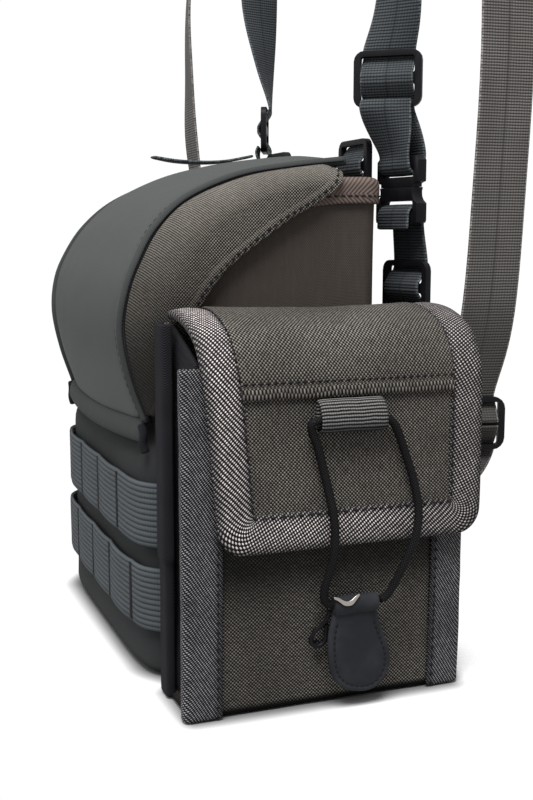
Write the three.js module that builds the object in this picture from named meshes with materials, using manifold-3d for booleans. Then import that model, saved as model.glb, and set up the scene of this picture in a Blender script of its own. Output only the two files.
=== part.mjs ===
// Binocular harness: a padded case with an arched lid, a side pouch and four webbing straps.
// Millimetres, +Z up. The case front faces -Y and the pouch sits on the +X side.
// The origin is the hang point at the top of the back patch. Sizes below are given in the
// case's own frame, whose zero is the middle of the case's bottom.
import * as THREE from 'three';
import { mergeVertices } from 'three/addons/utils/BufferGeometryUtils.js';
import Module from 'manifold-3d';

const wasm = await Module();
wasm.setup();

// Driving dimensions
const GAP = 0.35;
const HANG = { y: 52, z: 600 };
const CASE = {
  width: 150, depth: 88, wall: 5, floor: 5, frontRadius: 13, rearRadius: 8, baseRound: 5,
  bow: 7, bowFlat: 6, bowUnderLid: 0.5, bowEnds: 83, lidStarts: 92,
  rimRear: 187, rimFront: 152, rimFlatFrom: 34, rimCurve: 2.4,
  frontArcSteps: 5, rearArcSteps: 4, frontSteps: 8,
};
// Share of the base rounding that is left at its arc's middle.
const BASE_ARC = 0.3;
const RIM_TAPE = { leg: 8.6, thick: 1.2 };
const MOLLE = { height: 25, thick: 1.6, upper: 51, lower: 18.5, sideReach: 24 };
const LID = {
  thick: 3, topCrown: 4.2, frontCrown: 4.6, crownFade: 1.4,
  pipe: 1.8, pipeOut: 2.5, pipeSunk: 0.4, steps: 20, stepsAcross: 8,
};
const WING = {
  inner: 77.2, seamOut: 4.5, turn: 14, thick: 1.6, seamInset: 2.1, bulge: 0.5, from: 0.045, to: 0.985,
  gather: 1.7, steps: 16, stepsAcross: 6,
};
const HEM_STEPS = 14;
const POUCH = {
  back: 81.3, front: 112, left: -47, right: 58, wall: 2.2, flange: 4, flangeThick: 3, backFlange: 8,
  rimBack: 136.7, rimFront: 123, bulge: 2.5, edgeBulge: 0.3,
};
const POUCH_LEVELS = [0, 20, 45, 75, 105];
const EDGE_TAPE = { reach: 12.5, thick: 1.2, clear: 1.5, low: 0.3, frontTop: 118, backTop: 136.4, levels: 6 };
const FLAP = {
  thick: 2, tape: 13, tapeThick: 3.2, tapeBack: 0.6, corner: 9, innerCorner: 0.5,
  overlap: 112.5, step: 1.1, start: 1.5, rowLength: 8, stepsAcross: 6,
};
const TAB = {
  width: 25, y: 9.7, face: 119.2, top: 111.5, low: 100.4, wall: 1.3, out: 6.8,
  sewn: 2, fold: 2.2, belly: 4.4, shoulder: 109.5, eyeHeight: 3.1,
};
const CORD = { radius: 1.5, sides: 8, steps: 52 };
const PULL = {
  width: 23, length: 30.5, thick: 2.6, x: 119.6, y: 13.8, top: 38.6, loopOuter: 3.7, loopInner: 1.9,
  neck: 0.72, shoulder: 0.28, shoulderWide: 1.2, footWide: 1.27, bladeDrop: 2.7,
};
const CLIP = { width: 10, height: 5, thick: 0.9, corner: 1.2, y: 9.6 };
const HOOK = { y: -1.6, z: 25.6, sides: 12 };
const WEB = { width: 20, thick: 1.4 };
const LOWER_WEB = { width: 24, thick: 1.4 };
const GLIDE = { width: 26.6, height: 21.5, thick: 2.6, corner: 4, bar: 1.9, slotTop: 8.5, slotWidth: 21.2 };
const BUCKLE = {
  width: 26.6, bar: 2.4, plugBar: 8.8, socketBar: -10.8, plugSlot: 5.7, socketSlot: -7.4,
  plugTall: 3.4, socketTall: 4.4, slotWidth: 21, plugThick: 4, socketThick: 4.8,
};
const TURN = { leg: 5.5, slack: 0.2, steps: 6 };
const LOCK = { width: 30, height: 22, thick: 2.8, corner: 5, slotAt: 5.6, slotWidth: 25, slotHeight: 6.4 };
const PATCH = { width: 110, low: 512, thick: 4, corner: 14 };

// Lid profile along the seam and the panel's half width, from its rear edge over the top and down to the hem.
const LID_PROFILE = [
  { y: 32.5, z: 195.6, half: 62.5 },
  { y: 9.9, z: 193, half: 60.5 },
  { y: -10.2, z: 189.2, half: 57.5 },
  { y: -29.6, z: 180.8, half: 56 },
  { y: -42.4, z: 169.8, half: 58.5 },
  { y: -50.3, z: 157.6, half: 61.5 },
  { y: -55, z: 146, half: 62.5 },
  { y: -56.7, z: 131.5, half: 61 },
  { y: -53.6, z: 114.6, half: 61 },
  { y: -48, z: 98, half: 62.5 },
];
// Free edge of a wing, from its rounded rear corner down to the lid's front lower corner.
const WING_EDGE = [
  { y: 26.4, z: 191 },
  { y: 24.6, z: 185.4 },
  { y: 15.3, z: 178.6 },
  { y: 3.9, z: 172.2 },
  { y: -7.9, z: 164 },
  { y: -17.4, z: 156.9 },
  { y: -25.4, z: 148.6 },
  { y: -33, z: 136 },
  { y: -39.8, z: 117 },
  { y: -44.8, z: 99.2 },
];
// Section of the rolled band under the lid's front edge: how far out from the lid's foot, and z.
const HEM_SECTION = [
  { out: -1.2, z: 97 }, { out: 1.2, z: 97.6 }, { out: 2.6, z: 96.2 }, { out: 3, z: 93.6 },
  { out: 2.6, z: 91.2 }, { out: 1.2, z: 90 }, { out: -1.2, z: 91 },
];
// Flap section across the pouch's depth, on the flap's inner face, with its edges.
const FLAP_ROWS = [
  { x: 80.3, z: 137.2, left: -43.5, right: 62 },
  { x: 85, z: 138.6, left: -43.5, right: 62.5 },
  { x: 96, z: 137.2, left: -43, right: 63 },
  { x: 108, z: 131.8, left: -42.5, right: 63.3 },
  { x: 114.6, z: 122.5, left: -42, right: 63.3 },
  { x: 116.4, z: 112, left: -41, right: 63.2 },
  { x: 117.2, z: 88, left: -39, right: 62.8 },
  { x: 118.6, z: 60, left: -37, right: 62 },
];
// Elastic cord from the pull tab's fold, up through the webbing tab and back.
const CORD_ROUTE = [
  [119.6, 5, 38.6], [119.6, 2.4, 39.2], [120, 0.7, 41.6], [120.9, 0.7, 46], [122.2, 2, 52],
  [123.4, 3, 59], [123.6, 3.1, 66], [123.2, 2.4, 73], [122, 1, 81], [121.6, -0.9, 89],
  [121.7, -3, 96.4], [122, -5, 101], [122.5, -5.2, 104], [122.6, -2.4, 104.8],
  [122.6, 3, 104.8], [122.6, 9.7, 104.8], [122.6, 16, 104.8], [122.6, 21.6, 104.6], [122.3, 25.4, 102.6],
  [121.9, 28, 98], [121.7, 30.8, 91], [122, 33.8, 82], [122.9, 35.6, 72], [123.6, 34.8, 63],
  [122.8, 32, 54.6], [121.4, 28.9, 46.8], [120.2, 26.6, 41.6], [119.6, 24.7, 39.2], [119.6, 22.6, 38.6],
];

// Hook's profile: radius, and distance from the pouch.
const HOOK_PROFILE = [
  { r: 0, h: 0 }, { r: 3, h: 0 }, { r: 3, h: 1 }, { r: 1.5, h: 1.6 },
  { r: 1.5, h: 3 }, { r: 3, h: 3.6 }, { r: 2.6, h: 4.8 }, { r: 0, h: 5.4 },
];
// Right half of a buckle half's outline: how far in from its side, and height.
const PLUG_OUTLINE = [
  { inset: 2.6, z: 0.1 }, { inset: 2.6, z: 1.4 }, { inset: 0, z: 2.2 }, { inset: 0, z: 10.2 },
  { inset: 2, z: 11.8 },
];
const SOCKET_OUTLINE = [
  { inset: 2, z: -14 }, { inset: 0.4, z: -13.5 }, { inset: 0, z: -12.6 }, { inset: 0, z: -6.2 },
  { inset: 1.8, z: -4.9 }, { inset: 2.7, z: -3.4 }, { inset: 2.9, z: -1.6 }, { inset: 2.4, z: 0 },
];
// Webbing through an adjuster: behind its outer bars (side 1) and over its middle bar (side -1).
const WEAVE = [
  { dz: 12.4, side: 1, slack: 0.2 }, { dz: 8.6, side: 1, slack: 0 }, { dz: 5.15, side: 0, slack: 0 },
  { dz: 1.8, side: -1, slack: 0 }, { dz: 0, side: -1, slack: 0.2 }, { dz: -1.8, side: -1, slack: 0 },
  { dz: -5.15, side: 0, slack: 0 }, { dz: -8.6, side: 1, slack: 0 }, { dz: -12.4, side: 1, slack: 0.4 },
];
// Webbing into a lock: behind its outer bar, through its slot and onto its middle bar.
const LOCK_WEAVE = [
  { dz: 13, side: 1, slack: 0.2 }, { dz: 9.2, side: 1, slack: 0.05 }, { dz: LOCK.slotAt, side: 0, slack: 0 },
  { dz: 2.0, side: -1, slack: 0.05 }, { dz: 0.6, side: -1, slack: 0.2 },
];
// Sewn end of a shoulder strap on its adjuster's front, and the end of a link strap.
const STRAP_END = [{ dz: -12.8, side: -1, slack: 1.1 }, { dz: -7.6, side: -1, slack: 0.4 }];
const LINK_END = { dz: -11.6, side: 1, slack: 0.45 };
// Sewn part of a rim anchor's webbing, on the case's rear wall.
const ANCHOR_SEWN = [{ z: 150, y: 45.2 }, { z: 162, y: 45.3 }, { z: 171, y: 48.6 }];

// Webbing chains. Columns: z, the axis's x and y there, and the yaw of the webbing's width
// from +X. A strap runs from the patch down to its hardware, a tab from it to the case.
const NEAR = {
  tag: 'near',
  glide: { x: 66, y: 50, z: 226, yaw: 50 },
  buckle: { x: 65, y: 57, z: 185, yaw: 9 },
  link: { x: 65, y: 60, z: 146, yaw: 12 },
  strapRows: [
    { z: 566, x: 26, y: 48.8, yaw: 0 },
    { z: 505, x: 30, y: 48.8, yaw: 0 },
    { z: 430, x: 44, y: 53, yaw: 8 },
    { z: 340, x: 61, y: 55, yaw: 16 },
    { z: 285, x: 66, y: 54.5, yaw: 22 },
    { z: 256, x: 67, y: 53.6, yaw: 32 },
  ],
  lowerRows: [
    { z: 556, x: 38, y: 55.2, yaw: 0 },
    { z: 511, x: 39, y: 55.2, yaw: 0 },
    { z: 494, x: 41, y: 57.5, yaw: 4 },
    { z: 450, x: 48, y: 70, yaw: 30 },
    { z: 360, x: 62, y: 97, yaw: 74 },
    { z: 260, x: 68, y: 102, yaw: 84 },
    { z: 180, x: 69, y: 99, yaw: 84 },
    { z: 130, x: 69, y: 95, yaw: 82 },
  ],
  lock: { x: 69, y: 88, z: 90, yaw: 78 },
  tabRows: [
    { z: 68, x: 69, y: 80, yaw: 66 },
    { z: 54, x: 66, y: 66, yaw: 40 },
    { z: 42, x: 59, y: 54, yaw: 8 },
    { z: 28, x: 54, y: 46.4, yaw: 0 },
    { z: 8, x: 54, y: 45.3, yaw: 0 },
  ],
  sideTabRows: [
    { z: 112, x: 59, y: 45.2, yaw: 0 },
    { z: 124, x: 59.4, y: 45.3, yaw: 0 },
    { z: 132, x: 61, y: 48.4, yaw: 5 },
    { z: 134.4, x: 64, y: 54, yaw: 10 },
  ],
  anchor: { x: 42, y: 47.8, z: 194, yaw: 0 },
};
const FAR = {
  tag: 'far',
  glide: { x: -66, y: 50, z: 217, yaw: -24 },
  buckle: { x: -67, y: 57, z: 176, yaw: -9 },
  link: { x: -67, y: 60, z: 137, yaw: -12 },
  strapRows: [
    { z: 566, x: -26, y: 55.2, yaw: 0 },
    { z: 505, x: -30, y: 55.2, yaw: 0 },
    { z: 430, x: -44, y: 53, yaw: -16 },
    { z: 340, x: -60, y: 48.5, yaw: -58 },
    { z: 285, x: -66, y: 47, yaw: -84 },
    { z: 250, x: -66.5, y: 50, yaw: -50 },
  ],
  lowerRows: [
    { z: 556, x: -38, y: 48.8, yaw: 0 },
    { z: 505, x: -40, y: 48.3, yaw: 0 },
    { z: 450, x: -52.4, y: 41.6, yaw: -4 },
    { z: 370, x: -73.5, y: 27, yaw: -10 },
    { z: 290, x: -85.6, y: 18.2, yaw: -14.5 },
    { z: 243, x: -89.4, y: 18.6, yaw: -9 },
    { z: 200, x: -91, y: 21.4, yaw: -4 },
    { z: 140, x: -91, y: 34, yaw: -30 },
  ],
  lock: { x: -89, y: 47, z: 90, yaw: -62 },
  tabRows: [
    { z: 68, x: -85, y: 54, yaw: -52 },
    { z: 54, x: -75, y: 56, yaw: -26 },
    { z: 42, x: -61, y: 52, yaw: -6 },
    { z: 28, x: -54, y: 46.4, yaw: 0 },
    { z: 8, x: -54, y: 45.3, yaw: 0 },
  ],
  sideTabRows: [
    { z: 103, x: -59, y: 45.2, yaw: 0 },
    { z: 115, x: -59.4, y: 45.3, yaw: 0 },
    { z: 123, x: -61, y: 48.4, yaw: -5 },
    { z: 125.4, x: -64, y: 54, yaw: -10 },
  ],
  anchor: { x: -42, y: 47.8, z: 194, yaw: 0 },
};
// Free tail of the far shoulder strap, over the lid, from the adjuster to its pointed end.
const TAIL_ROWS = [
  { y: 41.6, z: 204.4, width: 15 },
  { y: 36, z: 203.2, width: 15 },
  { y: 27, z: 201.6, width: 14.5 },
  { y: 17, z: 201, width: 13.5 },
  { y: 4, z: 201.4, width: 11 },
  { y: -8, z: 203.2, width: 5 },
].map((row) => ({ x: -66, yaw: 0, ...row }));

const COLOURS = {
  canvas: 0x4a4840, lidCloth: 0x565b59, wingCloth: 0x57524a, caseCloth: 0x5a524b, tape: 0x4d4947,
  webbing: 0x55595b, plastic: 0x101013, cord: 0x141416, leather: 0x282b2e, metal: 0xb9bcc0,
};

const harness = new THREE.Group();
harness.name = 'binocular_harness';
const caseFrame = new THREE.Group();
caseFrame.position.set(0, -HANG.y, -HANG.z);
harness.add(caseFrame);

function piece(name, geometry, finish, parent = caseFrame) {
  const soft = !['plastic', 'leather', 'metal'].includes(finish);
  const material = new THREE.MeshStandardMaterial({
    color: COLOURS[finish],
    roughness: soft ? 0.9 : 0.45,
    metalness: finish === 'metal' ? 1 : 0,
  });
  const mesh = new THREE.Mesh(geometry, material);
  mesh.name = name;
  parent.add(mesh);
  return mesh;
}

// Geometry helpers
const point = (x, y, z) => new THREE.Vector3(x, y, z);
const mix = THREE.MathUtils.lerp;
const clamp01 = (t) => Math.min(Math.max(t, 0), 1);

function geometryFrom(points, triangles) {
  const geometry = new THREE.BufferGeometry();
  const positions = points.flatMap((p) => [p.x, p.y, p.z]);
  geometry.setAttribute('position', new THREE.Float32BufferAttribute(positions, 3));
  geometry.setIndex(triangles);
  geometry.computeVertexNormals();
  return geometry;
}

// A table's columns as one smooth curve; returns a reader of the named columns at 0..1.
function smoothTable(rows) {
  const last = rows.length - 1;
  const tangent = (name, i) => {
    const before = rows[Math.max(i - 1, 0)][name];
    const after = rows[Math.min(i + 1, last)][name];
    return (after - before) / (i === 0 || i === last ? 1 : 2);
  };
  return (t, name) => {
    const place = clamp01(t) * last;
    const i = Math.min(Math.floor(place), last - 1);
    const f = place - i;
    const f2 = f * f;
    const f3 = f2 * f;
    return (2 * f3 - 3 * f2 + 1) * rows[i][name] + (f3 - 2 * f2 + f) * tangent(name, i)
      + (3 * f2 - 2 * f3) * rows[i + 1][name] + (f3 - f2) * tangent(name, i + 1);
  };
}

// A cloth wall: a grid of points at(u, v) with a thickness on the side of du x dv.
// lift moves the inner face along the same direction.
function wall(at, along, across, thick, lift = 0) {
  const step = 1e-3;
  const inner = [];
  const outer = [];
  for (let i = 0; i <= along; i += 1) {
    for (let j = 0; j <= across; j += 1) {
      const u = i / along;
      const v = j / across;
      const du = at(Math.min(u + step, 1), v).sub(at(Math.max(u - step, 0), v));
      const dv = at(u, Math.min(v + step, 1)).sub(at(u, Math.max(v - step, 0)));
      const normal = du.cross(dv).normalize();
      inner.push(at(u, v).addScaledVector(normal, lift));
      outer.push(at(u, v).addScaledVector(normal, lift + thick));
    }
  }
  const count = inner.length;
  const id = (i, j) => i * (across + 1) + j;
  const triangles = [];
  const quad = (a, b, c, d) => triangles.push(a, b, c, a, c, d);
  for (let i = 0; i < along; i += 1) {
    for (let j = 0; j < across; j += 1) {
      const [a, b, c, d] = [id(i, j), id(i + 1, j), id(i + 1, j + 1), id(i, j + 1)];
      quad(a + count, b + count, c + count, d + count);
      quad(a, d, c, b);
    }
    quad(id(i, 0), id(i + 1, 0), id(i + 1, 0) + count, id(i, 0) + count);
    quad(id(i + 1, across), id(i, across), id(i, across) + count, id(i + 1, across) + count);
  }
  for (let j = 0; j < across; j += 1) {
    quad(id(0, j), id(0, j) + count, id(0, j + 1) + count, id(0, j + 1));
    quad(id(along, j + 1), id(along, j + 1) + count, id(along, j) + count, id(along, j));
  }
  return geometryFrom([...inner, ...outer], triangles);
}

// A closed solid through rings of equal count, each counter-clockwise seen from the far end.
// A ringed solid closes on its first ring instead of having caps.
function loft(rings, ringed = false) {
  const sides = rings[0].length;
  const triangles = [];
  const bands = ringed ? rings.length : rings.length - 1;
  for (let i = 0; i < bands; i += 1) {
    const next = (i + 1) % rings.length;
    for (let j = 0; j < sides; j += 1) {
      const k = (j + 1) % sides;
      const a = i * sides + j;
      const b = i * sides + k;
      const c = next * sides + k;
      const d = next * sides + j;
      triangles.push(a, b, c, a, c, d);
    }
  }
  if (!ringed) {
    const cap = (ring) => {
      const [e1, e2] = planeAxes(ring);
      return THREE.ShapeUtils.triangulateShape(
        ring.map((p) => new THREE.Vector2(p.dot(e1), p.dot(e2))), []);
    };
    const top = (rings.length - 1) * sides;
    cap(rings[0]).forEach(([a, b, c]) => triangles.push(a, c, b));
    cap(rings[rings.length - 1]).forEach(([a, b, c]) => triangles.push(top + a, top + b, top + c));
  }
  return geometryFrom(rings.flat(), triangles);
}

// Two axes of a ring's plane, in which the ring runs counter-clockwise.
function planeAxes(ring) {
  const normal = point(0, 0, 0);
  ring.forEach((p, i) => {
    const q = ring[(i + 1) % ring.length];
    const x = (p.y - q.y) * (p.z + q.z);
    const y = (p.z - q.z) * (p.x + q.x);
    normal.add(point(x, y, (p.x - q.x) * (p.y + q.y)));
  });
  normal.normalize();
  const helper = Math.abs(normal.z) < 0.8 ? point(0, 0, 1) : point(1, 0, 0);
  const e1 = helper.cross(normal).normalize();
  return [e1, normal.clone().cross(e1)];
}

function solidOf(geometry) {
  const bare = geometry.clone();
  bare.deleteAttribute('normal');
  bare.deleteAttribute('uv');
  const merged = mergeVertices(bare, 1e-4);
  return new wasm.Manifold(new wasm.Mesh({
    numProp: 3,
    vertProperties: new Float32Array(merged.attributes.position.array),
    triVerts: new Uint32Array(merged.index.array),
  }));
}

function geometryOf(solid) {
  const mesh = solid.getMesh();
  const geometry = new THREE.BufferGeometry();
  const positions = new Float32Array(mesh.vertProperties);
  geometry.setAttribute('position', new THREE.BufferAttribute(positions, 3));
  geometry.setIndex(new THREE.BufferAttribute(new Uint32Array(mesh.triVerts), 1));
  geometry.computeVertexNormals();
  return geometry;
}

const joined = (a, b) => geometryOf(solidOf(a).add(solidOf(b)));
const cutBy = (a, b) => geometryOf(solidOf(a).subtract(solidOf(b)));

function roundedRect(width, height, radius, Path = THREE.Shape) {
  const w = width / 2;
  const h = height / 2;
  const path = new Path();
  path.absarc(w - radius, h - radius, radius, 0, Math.PI / 2);
  path.absarc(-w + radius, h - radius, radius, Math.PI / 2, Math.PI);
  path.absarc(-w + radius, -h + radius, radius, Math.PI, Math.PI * 1.5);
  path.absarc(w - radius, -h + radius, radius, Math.PI * 1.5, Math.PI * 2);
  path.closePath();
  return path;
}

// A flat plate of an outline drawn in X and Z, its thickness centred on Y = 0.
function plate(shape, thick, curveSegments = 3) {
  const geometry = new THREE.ExtrudeGeometry(shape, { depth: thick, bevelEnabled: false, curveSegments });
  geometry.translate(0, 0, -thick / 2);
  geometry.rotateX(Math.PI / 2);
  return geometry;
}

// Case: plan outline at a distance inside the outer skin, counter-clockwise from above.
function caseOutline(inset, bow = CASE.bow) {
  const half = CASE.width / 2 - inset;
  const deep = CASE.depth / 2 - inset;
  const rf = CASE.frontRadius - inset;
  const rr = CASE.rearRadius - inset;
  const corners = [
    { x: half - rf, y: -deep + rf, r: rf, from: -90, steps: CASE.frontArcSteps },
    { x: half - rr, y: deep - rr, r: rr, from: 0, steps: CASE.rearArcSteps },
    { x: -half + rr, y: deep - rr, r: rr, from: 90, steps: CASE.rearArcSteps },
    { x: -half + rf, y: -deep + rf, r: rf, from: 180, steps: CASE.frontArcSteps },
  ];
  const outline = [];
  for (const corner of corners) {
    for (let i = 0; i <= corner.steps; i += 1) {
      const angle = THREE.MathUtils.degToRad(corner.from + (90 * i) / corner.steps);
      const x = corner.x + corner.r * Math.cos(angle);
      outline.push({ x, y: corner.y + corner.r * Math.sin(angle) });
    }
  }
  const span = half - rf;
  for (let i = 1; i < CASE.frontSteps; i += 1) {
    outline.push({ x: mix(-span, span, i / CASE.frontSteps), y: -deep });
  }
  return outline.map(({ x, y }) => ({ x, y: y + frontBow(x, y, bow) }));
}

function frontBow(x, y, bow) {
  const across = clamp01(1 - Math.abs(x / (CASE.width / 2)) ** CASE.bowFlat);
  return -bow * across * clamp01(-y / (CASE.depth / 2));
}

function rimHeight(y) {
  const forward = clamp01((CASE.rimFlatFrom - y) / (CASE.rimFlatFrom + CASE.depth / 2));
  return CASE.rimRear - (CASE.rimRear - CASE.rimFront) * forward ** CASE.rimCurve;
}

const ringAt = (outline, z) => outline.map((p) => point(p.x, p.y, z));

function caseShell() {
  const { baseRound, bowUnderLid, wall: thick } = CASE;
  const skin = caseOutline(0);
  const upperSkin = caseOutline(0, bowUnderLid);
  const lining = caseOutline(thick, bowUnderLid);
  const rim = upperSkin.map((p) => rimHeight(p.y));
  const rimRing = (outline) => outline.map((p, i) => point(p.x, p.y, rim[i]));
  return loft([
    ringAt(caseOutline(baseRound), 0),
    ringAt(caseOutline(baseRound * BASE_ARC), baseRound * BASE_ARC),
    ringAt(skin, baseRound),
    ringAt(skin, CASE.bowEnds),
    ringAt(upperSkin, CASE.lidStarts),
    rimRing(upperSkin),
    rimRing(lining),
    ringAt(lining, CASE.floor),
  ]);
}

// Tape folded over the rim: a closed sweep of a U section, two legs and the fold.
function caseRimBinding() {
  const edge = caseOutline(0, CASE.bowUnderLid);
  const skin = caseOutline(-GAP, CASE.bowUnderLid);
  const tape = caseOutline(-GAP - RIM_TAPE.thick, CASE.bowUnderLid);
  const lining = caseOutline(CASE.wall + GAP, CASE.bowUnderLid);
  const inside = caseOutline(CASE.wall + GAP + RIM_TAPE.thick, CASE.bowUnderLid);
  const rings = edge.map((p, i) => {
    const top = rimHeight(p.y);
    const seat = top + GAP;
    const fold = seat + RIM_TAPE.thick;
    const foot = top - RIM_TAPE.leg;
    const at = (q, z) => point(q.x, q.y, z);
    return [
      at(skin[i], foot), at(skin[i], seat), at(lining[i], seat), at(lining[i], foot),
      at(inside[i], foot), at(inside[i], fold), at(tape[i], fold), at(tape[i], foot),
    ];
  });
  return loft(rings, true);
}

// Webbing row round the front, from one side wall to the other.
function molleRow(low) {
  const skin = caseOutline(-GAP);
  const corner = CASE.frontArcSteps + 1;
  const middle = CASE.frontSteps - 1;
  const front = skin.slice(-middle);
  const near = skin.slice(0, corner);
  const far = skin.slice(-middle - corner, -middle);
  const side = near[corner - 1];
  const reach = { x: side.x, y: side.y + MOLLE.sideReach };
  const route = [{ x: -reach.x, y: reach.y }, ...far, ...front, ...near, reach];
  const at = (u, v) => {
    const place = clamp01(u) * (route.length - 1);
    const i = Math.min(Math.floor(place), route.length - 2);
    const f = place - i;
    const x = mix(route[i].x, route[i + 1].x, f);
    const y = mix(route[i].y, route[i + 1].y, f);
    return point(x, y, low + v * MOLLE.height);
  };
  return wall(at, route.length - 1, 1, MOLLE.thick);
}

// Lid
const lidSeam = smoothTable(LID_PROFILE);
const wingEdge = smoothTable(WING_EDGE);

// Outward direction of the lid's profile at t, in the Y-Z plane.
function lidOutward(t) {
  const step = 1e-3;
  const dy = lidSeam(t + step, 'y') - lidSeam(t - step, 'y');
  const dz = lidSeam(t + step, 'z') - lidSeam(t - step, 'z');
  const length = Math.hypot(dy, dz);
  return { y: dz / length, z: -dy / length };
}

function lidPoint(t, x, rise) {
  const outward = lidOutward(t);
  return point(x, lidSeam(t, 'y') + outward.y * rise, lidSeam(t, 'z') + outward.z * rise);
}

function lidPanel() {
  const at = (u, v) => {
    const half = lidSeam(u, 'half');
    const x = mix(-half, half, v);
    const crown = mix(LID.topCrown, LID.frontCrown, clamp01(u * LID.crownFade));
    return lidPoint(u, x, crown * (1 - (x / half) ** 2) - LID.thick);
  };
  return wall(at, LID.steps, LID.stepsAcross, LID.thick);
}

function lidPiping(side) {
  const { steps } = LID;
  const sides = 8;
  const rings = [];
  for (let i = 0; i <= steps; i += 1) {
    const t = i / steps;
    const outward = lidOutward(t);
    const centre = lidPoint(t, side * (lidSeam(t, 'half') + LID.pipeOut), -LID.pipe * LID.pipeSunk);
    const ring = [];
    for (let j = 0; j < sides; j += 1) {
      const angle = (2 * Math.PI * j) / sides;
      const out = LID.pipe * Math.sin(angle);
      const x = centre.x + LID.pipe * Math.cos(angle);
      ring.push(point(x, centre.y + outward.y * out, centre.z + outward.z * out));
    }
    rings.push(ring);
  }
  return loft(rings);
}

// Wing from the welt, round the case's front corner and flat along its side.
function lidWing(side) {
  const at = (u, v) => {
    const t = mix(WING.from, WING.to, side > 0 ? u : 1 - u);
    const seam = lidPoint(t, 0, -WING.seamInset - LID.pipe * LID.pipeSunk);
    const edge = { y: wingEdge(t, 'y'), z: wingEdge(t, 'z') };
    const share = v ** WING.gather;
    const reach = share * Math.hypot(edge.y - seam.y, edge.z - seam.z);
    const left = 1 - clamp01(reach / WING.turn);
    const turned = mix(lidSeam(t, 'half') + WING.seamOut, WING.inner, Math.sqrt(1 - left * left));
    const x = turned + WING.bulge * Math.sin(Math.PI * v) * Math.sin(Math.PI * t);
    return point(side * x, mix(seam.y, edge.y, share), mix(seam.z, edge.z, share));
  };
  return wall(at, WING.steps, WING.stepsAcross, WING.thick);
}

// Rolled band along the lid's bowed foot.
function lidHem() {
  const foot = LID_PROFILE[LID_PROFILE.length - 1];
  const half = foot.half + LID.pipeOut;
  const outward = lidOutward(1);
  const rings = [];
  for (let i = 0; i <= HEM_STEPS; i += 1) {
    const x = mix(-half, half, i / HEM_STEPS);
    const crown = LID.frontCrown * (1 - (x / half) ** 2);
    rings.push(HEM_SECTION.map((p) => point(x, foot.y + outward.y * crown - p.out, p.z + outward.z * crown)));
  }
  return loft(rings);
}

// Pouch
const pouchBulge = (z) => POUCH.bulge * Math.sin(Math.PI * clamp01(z / POUCH.rimFront));

// Plan outline with a flange along the edges of the front and back panels.
function pouchOutline(z) {
  const { back, left, right, flange, flangeThick, backFlange } = POUCH;
  const front = POUCH.front + pouchBulge(z) * POUCH.edgeBulge;
  const crown = POUCH.front + pouchBulge(z);
  const middle = (left + right) / 2;
  return [
    { x: back, y: left }, { x: back + backFlange, y: left },
    { x: back + backFlange, y: left + flange }, { x: front - flangeThick, y: left + flange },
    { x: front - flangeThick, y: left }, { x: front, y: left },
    { x: crown, y: mix(left, middle, 0.5) }, { x: crown, y: mix(right, middle, 0.5) },
    { x: front, y: right }, { x: front - flangeThick, y: right },
    { x: front - flangeThick, y: right - flange }, { x: back + backFlange, y: right - flange },
    { x: back + backFlange, y: right }, { x: back, y: right },
  ];
}

function pouchRim(x) {
  return mix(POUCH.rimBack, POUCH.rimFront, clamp01((x - POUCH.back) / (POUCH.front - POUCH.back)));
}

function pouchBody() {
  const rings = POUCH_LEVELS.map((z) => ringAt(pouchOutline(z), z));
  rings.push(pouchOutline(POUCH.rimFront).map((p) => point(p.x, p.y, pouchRim(p.x))));
  const { wall: thick, flangeThick, flange } = POUCH;
  const low = { x: POUCH.back + flangeThick, y: POUCH.left + flange + thick };
  const high = { x: POUCH.front - flangeThick, y: POUCH.right - flange - thick };
  const cavity = [
    { x: low.x, y: low.y }, { x: high.x, y: low.y }, { x: high.x, y: high.y }, { x: low.x, y: high.y },
  ];
  return cutBy(loft(rings), loft([ringAt(cavity, thick), ringAt(cavity, HANG.z)]));
}

// Tape folded round a vertical panel edge: a C section swept up the edge. Columns of the
// section: how far out from the edge, and how far through the panel's thickness.
function edgeTape({ edgeY, out, faceX, swell, through, high }) {
  const { reach, thick: t, low, levels } = EDGE_TAPE;
  const back = EDGE_TAPE.clear - POUCH.flange;
  const depth = Math.abs(through);
  const way = Math.sign(through);
  const section = [
    { y: -reach, x: -GAP - t }, { y: GAP + t, x: -GAP - t }, { y: GAP + t, x: depth + GAP + t },
    { y: back, x: depth + GAP + t }, { y: back, x: depth + GAP },
    { y: GAP, x: depth + GAP }, { y: GAP, x: -GAP }, { y: -reach, x: -GAP },
  ];
  const rings = [];
  for (let i = 0; i <= levels; i += 1) {
    const z = mix(low, high, i / levels);
    const ring = section.map((p) => {
      const rise = p.y === -reach ? swell(z) : 0;
      return point(faceX(z) + way * p.x + rise, edgeY + out * p.y, z);
    });
    rings.push(out * way > 0 ? ring.reverse() : ring);
  }
  return loft(rings);
}

// Flap: its surface in distance down the section and position across.
const flapTable = smoothTable(FLAP_ROWS);
const FLAP_STEPS = 60;
const flapArc = [0];
for (let i = 1; i <= FLAP_STEPS; i += 1) {
  const here = i / FLAP_STEPS;
  const before = (i - 1) / FLAP_STEPS;
  const dx = flapTable(here, 'x') - flapTable(before, 'x');
  const dz = flapTable(here, 'z') - flapTable(before, 'z');
  flapArc.push(flapArc[i - 1] + Math.hypot(dx, dz));
}
const flapLength = flapArc[FLAP_STEPS];

// Table position at a distance down the flap.
function flapPlace(distance) {
  const i = Math.max(flapArc.findIndex((d) => d >= distance) - 1, 0);
  const f = (distance - flapArc[i]) / (flapArc[i + 1] - flapArc[i]);
  return (i + f) / FLAP_STEPS;
}

function flapPoint(distance, y) {
  const t = flapPlace(Math.min(Math.max(distance, 0), flapLength));
  return point(flapTable(t, 'x'), y, flapTable(t, 'z'));
}

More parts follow.
